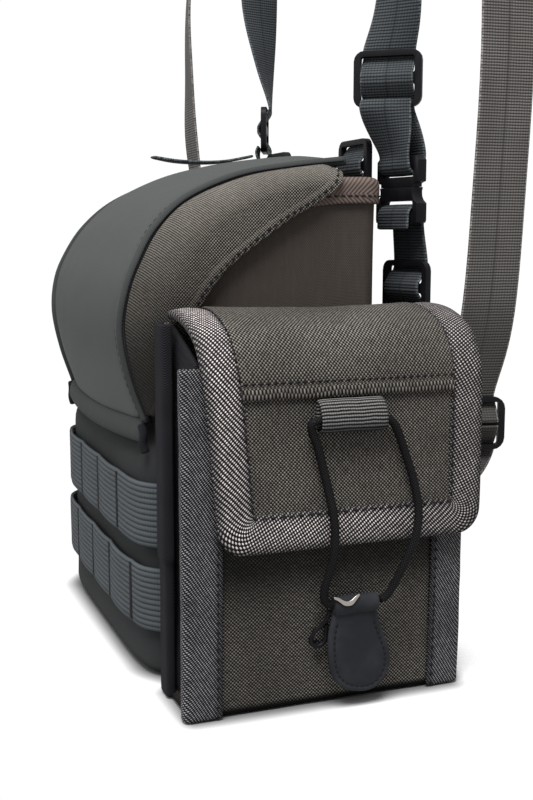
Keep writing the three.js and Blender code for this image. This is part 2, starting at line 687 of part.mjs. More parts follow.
// Distance down the flap where its inner face is at a height on the front.
function flapDistanceAt(z) {
  for (let i = FLAP_STEPS; i > 0; i -= 1) {
    if (flapTable(i / FLAP_STEPS, 'z') >= z) return flapArc[i];
  }
  return 0;
}

const flapEdge = (distance, name) => flapTable(flapPlace(distance), name);

// A panel of the flap between two distances, inside the tape.
function flapPanel(from, to, thick) {
  const inset = FLAP.tape + GAP;
  const at = (u, v) => {
    const distance = mix(from, to, u);
    const left = flapEdge(distance, 'left') + inset;
    const right = flapEdge(distance, 'right') - inset;
    return flapPoint(distance, mix(left, right, v));
  };
  return wall(at, Math.ceil((to - from) / FLAP.rowLength), FLAP.stepsAcross, thick);
}

// Route of the tape round the flap: down the left side, round the bottom, up the right.
// Columns: distance down the flap and position across, for the outer and the inner edge.
function flapTapeRoute() {
  const { corner, tape, innerCorner } = FLAP;
  const outerStop = flapLength - corner;
  const innerStop = flapLength - tape - innerCorner;
  const sideSteps = 14;
  const arcSteps = 4;
  const bottomSteps = 6;
  const down = (name, way) => {
    const rows = [];
    for (let i = 0; i <= sideSteps; i += 1) {
      const outer = mix(FLAP.start, outerStop, i / sideSteps);
      const inner = mix(FLAP.start, innerStop, i / sideSteps);
      rows.push({ s: outer, y: flapEdge(outer, name), si: inner, yi: flapEdge(inner, name) + way * tape });
    }
    const edge = flapEdge(outerStop, name);
    for (let i = 1; i <= arcSteps; i += 1) {
      const angle = (Math.PI / 2) * (i / arcSteps);
      const sink = Math.sin(angle);
      const turn = 1 - Math.cos(angle);
      rows.push({
        s: outerStop + corner * sink, y: edge + way * corner * turn,
        si: innerStop + innerCorner * sink, yi: edge + way * (tape + innerCorner * turn),
      });
    }
    return rows;
  };
  const left = down('left', 1);
  const right = down('right', -1).reverse();
  const [from, to] = [left[left.length - 1], right[0]];
  const bottom = [];
  for (let i = 1; i < bottomSteps; i += 1) {
    const f = i / bottomSteps;
    bottom.push({ s: from.s, y: mix(from.y, to.y, f), si: from.si, yi: mix(from.yi, to.yi, f) });
  }
  return [...left, ...bottom, ...right];
}

function flapBinding() {
  const route = flapTapeRoute();
  const at = (u, v) => {
    const place = clamp01(u) * (route.length - 1);
    const i = Math.min(Math.floor(place), route.length - 2);
    const read = (name) => mix(route[i][name], route[i + 1][name], place - i);
    return flapPoint(mix(read('s'), read('si'), v), mix(read('y'), read('yi'), v));
  };
  return wall(at, route.length - 1, 1, FLAP.tapeThick, -FLAP.tapeBack);
}

// Webbing tab folded into a loop that the cord runs through, extruded across the flap.
function flapWebbingLoop(faceX) {
  const outline = new THREE.Shape();
  const belly = TAB.low + TAB.belly;
  outline.moveTo(faceX, TAB.top);
  outline.lineTo(faceX, TAB.low + TAB.fold);
  outline.quadraticCurveTo(faceX, TAB.low, faceX + TAB.fold, TAB.low);
  outline.quadraticCurveTo(faceX + TAB.out, TAB.low, faceX + TAB.out, belly);
  outline.quadraticCurveTo(faceX + TAB.out, TAB.shoulder, faceX + TAB.sewn, TAB.top);
  outline.closePath();
  const eye = new THREE.Path();
  eye.absellipse(faceX + TAB.out / 2, belly, TAB.out / 2 - TAB.wall, TAB.eyeHeight, 0, Math.PI * 2);
  outline.holes.push(eye);
  const settings = { depth: TAB.width, bevelEnabled: false, curveSegments: 5 };
  const geometry = new THREE.ExtrudeGeometry(outline, settings);
  geometry.rotateX(Math.PI / 2);
  geometry.translate(0, TAB.y + TAB.width / 2, 0);
  return geometry;
}

function bungeeCord() {
  const section = new THREE.Shape();
  section.absarc(0, 0, CORD.radius, 0, Math.PI * 2);
  const route = new THREE.CatmullRomCurve3(CORD_ROUTE.map((p) => point(...p)));
  return new THREE.ExtrudeGeometry(section, {
    steps: CORD.steps, extrudePath: route, curveSegments: CORD.sides / 2, bevelEnabled: false,
  });
}

// Teardrop tab, with a tube across its top for the cord.
function pullTab() {
  const half = PULL.width / 2;
  const neck = half * PULL.neck;
  const wide = half * PULL.shoulderWide;
  const foot = half * PULL.footWide;
  const low = -PULL.length;
  const shoulder = low * PULL.shoulder;
  const outline = new THREE.Shape();
  outline.moveTo(-neck, 0);
  outline.bezierCurveTo(-wide, shoulder, -foot, low, 0, low);
  outline.bezierCurveTo(foot, low, wide, shoulder, neck, 0);
  outline.closePath();
  const blade = plate(outline, PULL.thick, 8);
  const ring = new THREE.Shape();
  ring.absarc(0, 0, PULL.loopOuter, 0, Math.PI * 2);
  const bore = new THREE.Path();
  bore.absarc(0, 0, PULL.loopInner, 0, Math.PI * 2);
  ring.holes.push(bore);
  const settings = { depth: neck * 2, bevelEnabled: false, curveSegments: 6 };
  const tube = new THREE.ExtrudeGeometry(ring, settings);
  tube.rotateY(Math.PI / 2);
  tube.translate(-neck, 0, 0);
  blade.translate(0, 0, -PULL.bladeDrop);
  return joined(blade, tube);
}

function pullTabClip() {
  return plate(roundedRect(CLIP.width, CLIP.height, CLIP.corner), CLIP.thick);
}

// Hook for the cord: a short stem and a round head.
function pouchHook() {
  return new THREE.LatheGeometry(HOOK_PROFILE.map(({ r, h }) => new THREE.Vector2(r, h)), HOOK.sides);
}

// Straps
// A flat band through rows of x, y, z, yaw and depth. The width lies level, turned by yaw.
function band(rows, width, thick, stepsPerRow = 3) {
  const table = smoothTable(rows.map((r) => ({ depth: 0, width, ...r })));
  const at = (u, v) => {
    const yaw = THREE.MathUtils.degToRad(table(u, 'yaw'));
    const side = (v - 0.5) * table(u, 'width');
    const depth = table(u, 'depth');
    return point(
      table(u, 'x') + Math.cos(yaw) * side - Math.sin(yaw) * depth,
      table(u, 'y') + Math.sin(yaw) * side + Math.cos(yaw) * depth,
      table(u, 'z'),
    );
  };
  return wall(at, (rows.length - 1) * stepsPerRow, 1, thick, -thick / 2);
}

// A row of a webbing table as a band row on a piece of hardware. way -1 turns the table over.
function onHardware(row, hardware, over, way = 1) {
  return { ...hardware, z: hardware.z + way * row.dz, depth: row.side * (over + row.slack) };
}

// How far the webbing's middle lies from an adjuster's or a lock's middle.
const overGlide = GLIDE.thick / 2 + GAP + WEB.thick / 2;
const overLock = LOCK.thick / 2 + GAP + LOWER_WEB.thick / 2;
const weave = (glide) => WEAVE.map((row) => onHardware(row, glide, overGlide));
const intoLock = (lock, way) => LOCK_WEAVE.map((row) => onHardware(row, lock, overLock, way));

// Rows of webbing turned round a bar: down behind it, under it and up its front, or for a bar
// that the webbing goes over, the other way up. The legs run straight for a short way.
function turnRound(bar, over) {
  const { leg, steps } = TURN;
  const reach = BUCKLE.bar + GAP + WEB.thick / 2 + TURN.slack;
  const way = over ? 1 : -1;
  const rows = [{ ...bar, z: bar.z - way * leg, depth: reach + GAP }];
  for (let i = 0; i <= steps; i += 1) {
    const angle = (Math.PI * i) / steps;
    rows.push({ ...bar, z: bar.z + way * reach * Math.sin(angle), depth: reach * Math.cos(angle) });
  }
  rows.push({ ...bar, z: bar.z - way * leg, depth: -reach - GAP });
  return rows;
}

const plugBar = ({ buckle }) => ({ ...buckle, z: buckle.z + BUCKLE.plugBar });
const socketBar = ({ buckle }) => ({ ...buckle, z: buckle.z + BUCKLE.socketBar });

function shoulderStrap(chain) {
  const turn = turnRound(plugBar(chain), false);
  const end = STRAP_END.map((row) => onHardware(row, chain.glide, overGlide));
  const rows = [...chain.strapRows, ...weave(chain.glide), ...turn, ...end];
  return band(rows, WEB.width, WEB.thick, 2);
}

function linkStrap(chain) {
  const { link } = chain;
  const turn = turnRound(socketBar(chain), true).reverse();
  const woven = weave(link).slice(1, -1);
  const end = onHardware(LINK_END, link, overGlide);
  return band([...turn, ...woven, end], WEB.width, WEB.thick, 2);
}

// A rounded slot across a plate, at a height above its middle.
function slotPath(width, height, z) {
  const around = roundedRect(width, height, 1, THREE.Path).getPoints(2);
  return new THREE.Path(around.map((p) => new THREE.Vector2(p.x, p.y + z)));
}

function adjuster() {
  const outline = roundedRect(GLIDE.width, GLIDE.height, GLIDE.corner);
  const slotHeight = GLIDE.slotTop - GLIDE.bar;
  for (const way of [1, -1]) {
    outline.holes.push(slotPath(GLIDE.slotWidth, slotHeight, way * (GLIDE.bar + slotHeight / 2)));
  }
  return plate(outline, GLIDE.thick, 2);
}

// A buckle half: its right outline mirrored to the left, with a strap slot.
function buckleHalf(outline, thick, slotAt, slotTall) {
  const half = BUCKLE.width / 2;
  const right = outline.map(({ inset, z }) => new THREE.Vector2(half - inset, z));
  const left = right.map((p) => new THREE.Vector2(-p.x, p.y)).reverse();
  const shape = new THREE.Shape([...right, ...left]);
  shape.holes.push(slotPath(BUCKLE.slotWidth, slotTall, slotAt));
  return plate(shape, thick);
}

const bucklePlug = () => buckleHalf(PLUG_OUTLINE, BUCKLE.plugThick, BUCKLE.plugSlot, BUCKLE.plugTall);
const buckleSocket = () => buckleHalf(SOCKET_OUTLINE, BUCKLE.socketThick, BUCKLE.socketSlot, BUCKLE.socketTall);

// Lock at the foot of a lower strap: a plate with a strap slot and a web slot.
function lowerLock() {
  const outline = roundedRect(LOCK.width, LOCK.height, LOCK.corner);
  for (const way of [1, -1]) {
    outline.holes.push(slotPath(LOCK.slotWidth, LOCK.slotHeight, way * LOCK.slotAt));
  }
  return plate(outline, LOCK.thick, 2);
}

function backPatch() {
  const height = HANG.z - PATCH.low;
  return plate(roundedRect(PATCH.width, height, PATCH.corner), PATCH.thick, 5);
}

// Webbing of a rim anchor: sewn to the rear wall, up behind the anchor and over its middle bar.
function anchorWeb({ anchor }) {
  const sewn = ANCHOR_SEWN.map((row) => ({ ...anchor, ...row }));
  const woven = weave(anchor).slice(1).reverse();
  return band([...sewn, ...woven], WEB.width, WEB.thick, 2);
}

function place(mesh, { x, y, z, yaw = 0 }) {
  mesh.position.set(x, y, z);
  mesh.rotation.z = THREE.MathUtils.degToRad(yaw);
  return mesh;
}

function addStraps(chain) {
  const { tag } = chain;
  piece(`shoulder_strap_${tag}`, shoulderStrap(chain), 'webbing');
  place(piece(`strap_adjuster_${tag}`, adjuster(), 'plastic'), chain.glide);
  place(piece(`buckle_plug_${tag}`, bucklePlug(), 'plastic'), chain.buckle);
  place(piece(`buckle_socket_${tag}`, buckleSocket(), 'plastic'), chain.buckle);
  piece(`link_strap_${tag}`, linkStrap(chain), 'webbing');
  place(piece(`link_adjuster_${tag}`, adjuster(), 'plastic'), chain.link);
  piece(`side_tab_${tag}`, band(chain.sideTabRows, WEB.width, WEB.thick), 'webbing');
  const lowerRows = [...chain.lowerRows, ...intoLock(chain.lock, 1)];
  piece(`lower_strap_${tag}`, band(lowerRows, LOWER_WEB.width, LOWER_WEB.thick, 2), 'webbing');
  place(piece(`lower_lock_${tag}`, lowerLock(), 'plastic'), chain.lock);
  const tabRows = [...intoLock(chain.lock, -1).reverse(), ...chain.tabRows];
  piece(`lower_tab_${tag}`, band(tabRows, LOWER_WEB.width, LOWER_WEB.thick, 2), 'webbing');
  place(piece(`rim_anchor_${tag}`, adjuster(), 'plastic'), chain.anchor);
  piece(`rim_anchor_web_${tag}`, anchorWeb(chain), 'webbing');
}

// Assembly
piece('case_shell', caseShell(), 'caseCloth');
piece('case_rim_binding', caseRimBinding(), 'tape');
piece('molle_row_upper', molleRow(MOLLE.upper), 'webbing');
piece('molle_row_lower', molleRow(MOLLE.lower), 'webbing');
piece('lid_panel', lidPanel(), 'lidCloth');
piece('lid_piping_near', lidPiping(1), 'lidCloth');
piece('lid_piping_far', lidPiping(-1), 'lidCloth');
piece('lid_wing_near', lidWing(1), 'wingCloth');
piece('lid_wing_far', lidWing(-1), 'wingCloth');
piece('lid_hem', lidHem(), 'lidCloth');

piece('pouch_body', pouchBody(), 'canvas');
const frontFace = (z) => POUCH.front + pouchBulge(z) * POUCH.edgeBulge;
// Share of the panel's bulge that is reached at the tape's inner edge.
const tapeShare = (4 * EDGE_TAPE.reach) / (POUCH.right - POUCH.left);
const frontSwell = (z) => pouchBulge(z) * (1 - POUCH.edgeBulge) * tapeShare;
const backFace = () => POUCH.back;
for (const [name, edgeY, out] of [['left', POUCH.left, -1], ['right', POUCH.right, 1]]) {
  piece(`pouch_front_binding_${name}`, edgeTape({
    edgeY, out, faceX: frontFace, swell: frontSwell, through: -POUCH.flangeThick, high: EDGE_TAPE.frontTop,
  }), 'tape');
  piece(`pouch_back_binding_${name}`, edgeTape({
    edgeY, out, faceX: backFace, swell: () => 0, through: POUCH.backFlange, high: EDGE_TAPE.backTop,
  }), 'tape');
}

const overlapAt = flapDistanceAt(FLAP.overlap);
piece('flap_top_panel', flapPanel(FLAP.start, overlapAt, FLAP.thick + FLAP.step), 'canvas');
piece('flap_front_panel', flapPanel(overlapAt + GAP, flapLength - FLAP.tape - GAP, FLAP.thick), 'canvas');
piece('flap_binding', flapBinding(), 'tape');
piece('flap_webbing_loop', flapWebbingLoop(TAB.face), 'webbing');
piece('bungee_cord', bungeeCord(), 'cord');
const tab = piece('pull_tab', pullTab(), 'leather');
tab.position.set(PULL.x, PULL.y, PULL.top);
tab.rotation.z = Math.PI / 2;
const clip = piece('pull_tab_clip', pullTabClip(), 'metal');
clip.position.set(PULL.x + PULL.loopOuter + GAP + CLIP.thick / 2, CLIP.y, PULL.top);
clip.rotation.z = Math.PI / 2;
const hook = piece('pouch_hook', pouchHook(), 'plastic');
hook.position.set(POUCH.front + pouchBulge(HOOK.z) + GAP, HOOK.y, HOOK.z);
hook.rotation.z = -Math.PI / 2;

addStraps(NEAR);
addStraps(FAR);
piece('far_strap_tail', band(TAIL_ROWS, WEB.width, WEB.thick), 'webbing');
place(piece('back_patch', backPatch(), 'canvas'), { x: 0, y: HANG.y, z: (HANG.z + PATCH.low) / 2 });

export default harness;
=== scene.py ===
"""Binocular harness: the cloth, webbing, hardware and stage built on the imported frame.

Sizes in the tables are millimetres in the case's own frame: zero at the middle of the case's
bottom, the case front towards -Y and the pouch on the +X side. Pieces are placed in metres in
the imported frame, whose origin is the hang point at the top of the back patch.
"""

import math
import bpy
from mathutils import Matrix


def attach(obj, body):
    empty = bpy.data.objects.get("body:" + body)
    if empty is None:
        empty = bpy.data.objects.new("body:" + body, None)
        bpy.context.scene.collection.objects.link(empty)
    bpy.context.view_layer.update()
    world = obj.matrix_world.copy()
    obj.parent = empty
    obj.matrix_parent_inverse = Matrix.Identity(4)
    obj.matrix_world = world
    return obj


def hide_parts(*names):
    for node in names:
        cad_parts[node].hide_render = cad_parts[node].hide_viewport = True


bl_info = {
    "name": "Binocular Harness",
    "version": (1, 0, 0),
    "blender": (4, 5, 0),
    "location": "3D View > Sidebar > Harness",
    "description": "Builds the cloth, webbing, hardware and stage of a binocular harness",
    "category": "Object",
}

from collections import namedtuple

import bmesh
import bpy
import numpy as np
from bpy.props import FloatProperty, FloatVectorProperty, IntProperty, PointerProperty
from mathutils import Vector, noise

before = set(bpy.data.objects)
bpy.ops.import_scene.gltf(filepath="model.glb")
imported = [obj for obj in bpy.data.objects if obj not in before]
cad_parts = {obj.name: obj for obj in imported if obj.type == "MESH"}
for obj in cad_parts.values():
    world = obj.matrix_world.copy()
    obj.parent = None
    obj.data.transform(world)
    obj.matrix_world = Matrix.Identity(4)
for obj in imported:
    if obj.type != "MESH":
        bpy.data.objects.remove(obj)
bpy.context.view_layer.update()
BODY = "root"
MM = 0.001

# Driving dimensions, in millimetres; shares, steps and powers have no unit.
GAP = 0.35
HANG = (0.0, 52.0, 600.0)
CASE = dict(half=75.0, deep=44.0, wall=5.0, floor=5.0, front_radius=13.0, rear_radius=8.0, bow=7.0,
            bow_flat=6, bow_under_lid=0.5, bow_ends=83.0, lid_starts=92.0, rim_rear=187.0, rim_front=152.0,
            rim_flat_from=34.0, rim_curve=2.4, base_round=5.0)
# Steps round the case's plan: in a corner, and along the near side, the rear, the far side and the front.
CORNER_STEPS = 8
SIDE_STEPS = (7, 16, 7, 27)
RIM_TAPE = dict(leg=8.6, thick=1.2, fold=0.9, steps=14, stitched_at=0.13)
WEB_ROW = dict(height=25.0, thick=1.6, side_reach=24.0, loop=0.9, loop_flat=0.6, steps=170, tack_clear=2.0,
               tack_inset=0.06, tack_lines=(-0.0032, -0.0016, 0.0, 0.0016, 0.0032))
LID = dict(thick=3.0, top_crown=4.2, front_crown=4.6, crown_fade=1.4, pipe=1.8, pipe_out=2.5,
           pipe_sunk=0.4, groove=4.4, groove_wide=1.6, groove_deep=0.9, seam_out=4.5, seam_sunk=0.7)
WING = dict(inner=77.2, seam_out=4.5, turn=14.0, thick=1.6, seam_inset=2.1, bulge=0.5, start=0.045,
            stop=0.985, hem=4.6, hem_most=0.9, hem_rise=0.5, hem_slope=0.03, stitched_at=0.4)
HEM = dict(steps=60, end_share=0.6, end_run=5.0, knot=1.7)
POUCH = dict(back=81.3, front=112.0, left=-47.0, right=58.0, wall=2.2, flange=4.0, flange_thick=3.0,
             back_flange=8.0, rim_back=136.7, rim_front=123.0, bulge=2.5, edge_bulge=0.3, flat=2.6,
             tuck=1.0)
PLEATS = dict(tall=34.0, pitch=3.4, deep=1.3, sunk=0.3)
POUCH_BOTTOM = dict(inset=0.6, front_inset=0.4, z=0.2)
EDGE_TAPE = dict(reach=12.5, thick=1.2, clear=1.5, low=0.3, front_top=122.8, back_top=136.4, fold=0.8,
                 fold_z=50.0, fold_run=1.5, round=0.7, steps=24, stitched_at=0.1)
FLAP = dict(thick=2.0, tape=13.0, tape_thick=3.2, tape_back=0.6, corner=9.0, inner_corner=0.5,
            overlap=112.5, under=6.0, step=1.1, start=1.5, roll=0.9, roll_at=0.8, roll_wide=1.1, sag=1.4,
            sag_run=0.6, seam=4.6, tuck=1.0, tape_crown=0.9, tape_sunk=0.55, stitched_at=0.93)
CORD_RADIUS = 1.5
WEB = dict(width=20.4, in_slot=21.1, thick=1.4)
LOWER_WEB = dict(width=24.0, thick=1.4)
BAND = dict(per_row=4, across=6, cup=0.25)
GLIDE_THICK = 2.6
LOCK_THICK = 2.8
BUCKLE = dict(bar=2.4, plug_bar=8.8, socket_bar=-10.8)
TURN = dict(leg=5.5, slack=0.2, steps=8)
PATCH = dict(width=110.0, low=512.0, thick=4.0, corner=14.0, crown=0.5, thinner=0.2, raised=0.3)
PULL = dict(x=119.7, thick=2.4, stitch_inset=2.3, roll_x=120.0, roll_z=38.2, roll_deep=2.9, roll_tall=3.5)
CLIP = dict(x=123.0, y=8.4, z=40.4, width=9.8, thick=0.7, sunk=1.4, lean=0.35)
HOOK = dict(tube=0.85, foot_y=0.2, foot_z=23.6, foot_back=113.2, foot_front=116.4)
# Loop of the hook, from the fold down its outer side and back up.
HOOK_ROUTE = [(118.9, 3.4, 36.6), (118.2, 2.7, 33.4), (117.2, 1.0, 30.6), (116.5, -1.4, 28.2),
              (116.2, -2.5, 25.8), (116.2, -2.0, 23.9), (116.4, -0.2, 23.0), (116.5, 1.8, 23.6),
              (116.6, 2.9, 25.4), (116.8, 3.0, 28.0), (117.4, 2.9, 31.0)]

# Lid profile along the seam and the panel's half width: from its rear edge over the top and down to the hem.
LID_PROFILE = [
    dict(y=32.5, z=195.6, half=62.5),
    dict(y=9.9, z=193, half=60.5),
    dict(y=-10.2, z=189.2, half=57.5),
    dict(y=-29.6, z=180.8, half=56),
    dict(y=-42.4, z=169.8, half=58.5),
    dict(y=-50.3, z=157.6, half=61.5),
    dict(y=-55, z=146, half=62.5),
    dict(y=-56.7, z=131.5, half=61),
    dict(y=-53.6, z=114.6, half=61),
    dict(y=-48, z=98, half=62.5),
]
# Free edge of a wing: from its rounded rear corner down to the lid's front lower corner.
WING_EDGE = [
    dict(y=26.4, z=191),
    dict(y=24.6, z=185.4),
    dict(y=15.3, z=178.6),
    dict(y=3.9, z=172.2),
    dict(y=-7.9, z=164),
    dict(y=-17.4, z=156.9),
    dict(y=-25.4, z=148.6),
    dict(y=-33, z=136),
    dict(y=-39.8, z=117),
    dict(y=-44.8, z=99.2),
]
# Section of the rolled band under the lid's front edge: out from the lid's foot, and height.
HEM_SECTION = [(-1.6, 99.4), (0.2, 98.9), (1.3, 97.6), (2.0, 96.3), (2.4, 94.6), (2.5, 92.8), (2.2, 91.3),
               (1.4, 90.4), (0.3, 90.1), (-0.7, 90.5), (-1.2, 91.2)]
# Gathered cloth at an end of that band: out from the lid's side, forward of its foot, and height.
HEM_KNOT = [(-0.6, 1.2, 97.4), (0.9, 0.7, 94.0), (0.6, 1.0, 90.2), (1.3, 0.1, 86.6)]
# Flap section across the pouch's depth, on the flap's inner face, with its edges.
FLAP_ROWS = [
    dict(x=80.3, z=137.2, left=-43.5, right=62),
    dict(x=85, z=138.6, left=-43.5, right=62.5),
    dict(x=96, z=137.2, left=-43, right=63),
    dict(x=108, z=131.8, left=-42.5, right=63.3),
    dict(x=114.6, z=122.5, left=-42, right=63.3),
    dict(x=116.4, z=112, left=-41, right=63.2),
    dict(x=117.2, z=88, left=-39, right=62.8),
    dict(x=118.6, z=60, left=-37, right=62),
]
# Elastic cord from the pull tab's fold, up through the webbing tab and back.
CORD_ROUTE = [
    (119.6, 5, 38.6), (119.6, 2.4, 39.2), (120, 0.7, 41.6), (120.9, 0.7, 46), (122.2, 2, 52),
    (123.4, 3, 59), (123.6, 3.1, 66), (123.2, 2.4, 73), (122, 1, 81), (121.6, -0.9, 89),
    (121.7, -3, 96.4), (122, -5, 101), (122.5, -5.2, 104), (122.6, -2.4, 104.8),
    (122.6, 3, 104.8), (122.6, 9.7, 104.8), (122.6, 16, 104.8), (122.6, 21.6, 104.6), (122.3, 25.4, 102.6),
    (121.9, 28, 98), (121.7, 30.8, 91), (122, 33.8, 82), (122.9, 35.6, 72), (123.6, 34.8, 63),
    (122.8, 32, 54.6), (121.4, 28.9, 46.8), (120.2, 26.6, 41.6), (119.6, 24.7, 39.2), (119.6, 22.6, 38.6),
]
# Pull tab's outline below its fold, y and z, from the fold's left end round to its right end.
PULL_OUTLINE = [(4.6, 37.0), (3.7, 33.4), (2.7, 29.2), (2.3, 24.6), (2.5, 19.8), (3.2, 14.8), (5.2, 10.4),
                (8.6, 7.3), (12.8, 5.7), (17.6, 5.2), (21.8, 6.4), (25.0, 9.5), (26.6, 13.6), (26.8, 17.7),
                (25.8, 21.9), (24.1, 26.3), (22.4, 30.9), (21.4, 34.6), (20.9, 37.0)]
# Bent clip in even steps across its width: rise of its upper and lower edge, and lift off the fold.
CLIP_ROWS = [(1.9, 1.2, 0.3), (1.6, 0.2, 0.9), (0.5, -1.2, 1.5), (0.0, -1.6, 1.7), (0.5, -1.4, 1.5),
             (1.6, -0.1, 0.9), (2.1, 1.4, 0.3)]
# Webbing tab on the flap: section of its fold, x and z, and its width's middle and size.
TAB_SECTION = [(120.2, 111.4), (122.8, 110.2), (124.6, 107.4), (125.3, 104.6), (124.7, 102), (122.6, 101),
               (120.5, 101.4), (120.1, 103.4), (120.1, 107), (120.1, 110.6)]
TAB = dict(y=9.7, width=25.0, thick=1.3, bead=0.9)
# Webbing rows round the case's front: lower edge, and where the bartacks sit across it.
WEB_ROWS = [
    dict(node="molle_row_upper", low=51.0, tacks=(-58, -26, 6.5, 39)),
    dict(node="molle_row_lower", low=18.5, tacks=(-37, -6, 24.5, 55)),
]
# Webbing through an adjuster: behind its outer bars (side 1), over its middle bar (side -1).
WEAVE = [(12.4, 1, 0.2), (8.6, 1, 0), (5.15, 0, 0), (1.8, -1, 0), (0, -1, 0.2), (-1.8, -1, 0), (-5.15, 0, 0),
         (-8.6, 1, 0), (-12.4, 1, 0.4)]
LOCK_WEAVE = [(13, 1, 0.2), (9.2, 1, 0.05), (5.6, 0, 0), (2.0, -1, 0.05), (0.6, -1, 0.2)]
STRAP_END = [(-12.8, -1, 1.1), (-7.6, -1, 0.4)]
LINK_END = (-11.6, 1, 0.45)
ANCHOR_SEWN = [dict(z=150, y=45.2), dict(z=162, y=45.3), dict(z=171, y=48.6)]
# Webbing chains. Columns: height, the axis's x and y there, and the yaw of the width from +X.
COLUMNS = ("z", "x", "y", "yaw")
NEAR = dict(
    tag="near",
    glide=(226, 66, 50, 50),
    buckle=(185, 65, 57, 9),
    link=(146, 65, 60, 12),
    strap=[(566, 26, 48.8, 0), (505, 30, 48.8, 0), (430, 44, 53, 8), (340, 61, 55, 16), (285, 66, 54.5, 22),
           (256, 67, 53.6, 32)],
    lower=[(556, 38, 55.2, 0), (511, 39, 55.2, 0), (494, 41, 57.5, 4), (450, 48, 70, 30), (360, 62, 97, 74),
           (260, 68, 102, 84), (180, 69, 99, 84), (130, 69, 95, 82)],
    lock=(90, 69, 88, 78),
    tab=[(68, 69, 80, 66), (54, 66, 66, 40), (42, 59, 54, 8), (28, 54, 46.4, 0), (8, 54, 45.3, 0)],
    side_tab=[(112, 59, 45.2, 0), (124, 59.4, 45.3, 0), (132, 61, 48.4, 5), (134.4, 64, 54, 10)],
    anchor=(194, 42, 47.8, 0),
)
FAR = dict(
    tag="far",
    glide=(217, -66, 50, -24),
    buckle=(176, -67, 57, -9),
    link=(137, -67, 60, -12),
    strap=[(566, -26, 55.2, 0), (505, -30, 55.2, 0), (430, -44, 53, -16), (340, -60, 48.5, -58),
           (285, -66, 47, -84), (250, -66.5, 50, -50)],
    lower=[(556, -38, 48.8, 0), (505, -40, 48.3, 0), (450, -52.4, 41.6, -4), (370, -73.5, 27, -10),
           (290, -85.6, 18.2, -14.5), (243, -89.4, 18.6, -9), (200, -91, 21.4, -4), (140, -91, 34, -30)],
    lock=(90, -89, 47, -62),
    tab=[(68, -85, 54, -52), (54, -75, 56, -26), (42, -61, 52, -6), (28, -54, 46.4, 0), (8, -54, 45.3, 0)],
    side_tab=[(103, -59, 45.2, 0), (115, -59.4, 45.3, 0), (123, -61, 48.4, -5), (125.4, -64, 54, -10)],
    anchor=(194, -42, 47.8, 0),
)
# Free tail of the far shoulder strap over the lid: y, z and width.
TAIL_ROWS = [(41.6, 204.4, 15), (36, 203.2, 15), (27, 201.6, 14.5), (17, 201, 13.5), (4, 201.4, 11),
             (-8, 203.2, 5)]
TAIL_X = -66
# Hardware kept from the frame with moulded edges: node and edge rounding.
MOULDED = [(f"{kind}_{tag}", size)
           for tag in ("near", "far")
           for kind, size in (("strap_adjuster", 0.8), ("link_adjuster", 0.8), ("rim_anchor", 0.8),
                              ("buckle_plug", 0.9), ("buckle_socket", 1.1), ("lower_lock", 0.9))]
# Edges of the moulded hardware, in degrees: still flat, rounded, and shaded as sharp.
MOULD = dict(flat=2, rounded=25, sharp=32)
# Soft dents of each cloth, in millimetres: their depth, size and a shift that sets them apart.
DENTS = dict(
    case=((0.45, 26.0, 0.0), (0.25, 11.0, 5.0)),
    row=((0.15, 9.0, 0.0),),
    lid=((0.5, 38.0, 2.0), (0.2, 15.0, 0.0)),
    wing=((0.25, 21.0, 6.0),),
    hem=((0.06, 7.0, 0.0),),
    pouch_front=((0.35, 24.0, 0.0), (0.15, 9.0, 3.0)),
    gusset=((0.5, 16.0, 1.0),),
    edge_tape=((0.2, 14.0, 8.0), (0.1, 5.0, 0.0)),
    flap=((0.3, 22.0, 4.0), (0.12, 8.0, 0.0)),
    flap_tape=((0.2, 12.0, 3.0),),
    strap=((0.12, 30.0, 0.0),),
)
# Rows and columns of the cloth grids.
GRIDS = dict(
    row=(200, 8), lid=(70, 84), wing=(80, 60), pouch_front=(54, 60), pouch_back=(20, 24),
    pouch_bottom=(24, 10), gusset=(26, 60), edge_tape=(90, 24), flap_top=(72, 44), flap_front=(36, 44),
    tab=(60, 8), clip=(24, 5), patch=(30, 28),
)
# Where finishes change, in millimetres: heights, and places from front to rear. All but the pouch's foot and
# the case's front bound painted shade or painted light.
HEIGHTS = dict(pouch_foot=(1.5, 4.0), under_flap=(34.0, 54.0), flap_starts=(65.0, 68.0),
               pouch_low=(50.0, 70.0), wing=(110.0, 190.0), lid_foot=(100.0, 145.0), strap=(100.0, 180.0),
               tab_fold=(100.5, 104.5))
DEPTHS = dict(pouch_front=(-48.0, 2.0), case_front=(-41.0, -26.0), tape_rear=(22.0, 52.0))
# Stitches unlike the usual ones, in metres and radians.
STITCHES = dict(
    pull_tab=dict(Pitch=0.0021, Length=0.0018, Width=0.0011, Height=0.0004),
    rim=dict(Pitch=0.0028, Length=0.0021),
    bartack=dict(Pitch=0.0008, Length=0.0019, Width=0.0007, Height=0.0006, Turn=math.pi / 2, Jitter=0.25),
    wing_hem=dict(Pitch=0.0029, Length=0.0019, Width=0.0009, Height=0.0007),
    lid=dict(Pitch=0.003, Length=0.0019, Width=0.0006, Height=0.0004),
    lid_seam=dict(Pitch=0.0014, Length=0.0021, Width=0.0008, Height=0.0006, Jitter=0.02),
    flap_seam=dict(Pitch=0.0026, Length=0.0018, Width=0.0007),
)
# How far stitches stand over the cloth, in millimetres.
STITCH_LIFT = dict(tape=0.1, cloth=0.15, wing=0.25)
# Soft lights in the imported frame, in metres.
LIGHTS = dict(
    key=dict(place=(0.5, -0.33, 0.55), target=(0.06, -0.05, -0.48), size=0.7),
    side=dict(place=(-0.35, -1.1, -0.1), target=(0.0, -0.05, -0.5), size=0.8),
)
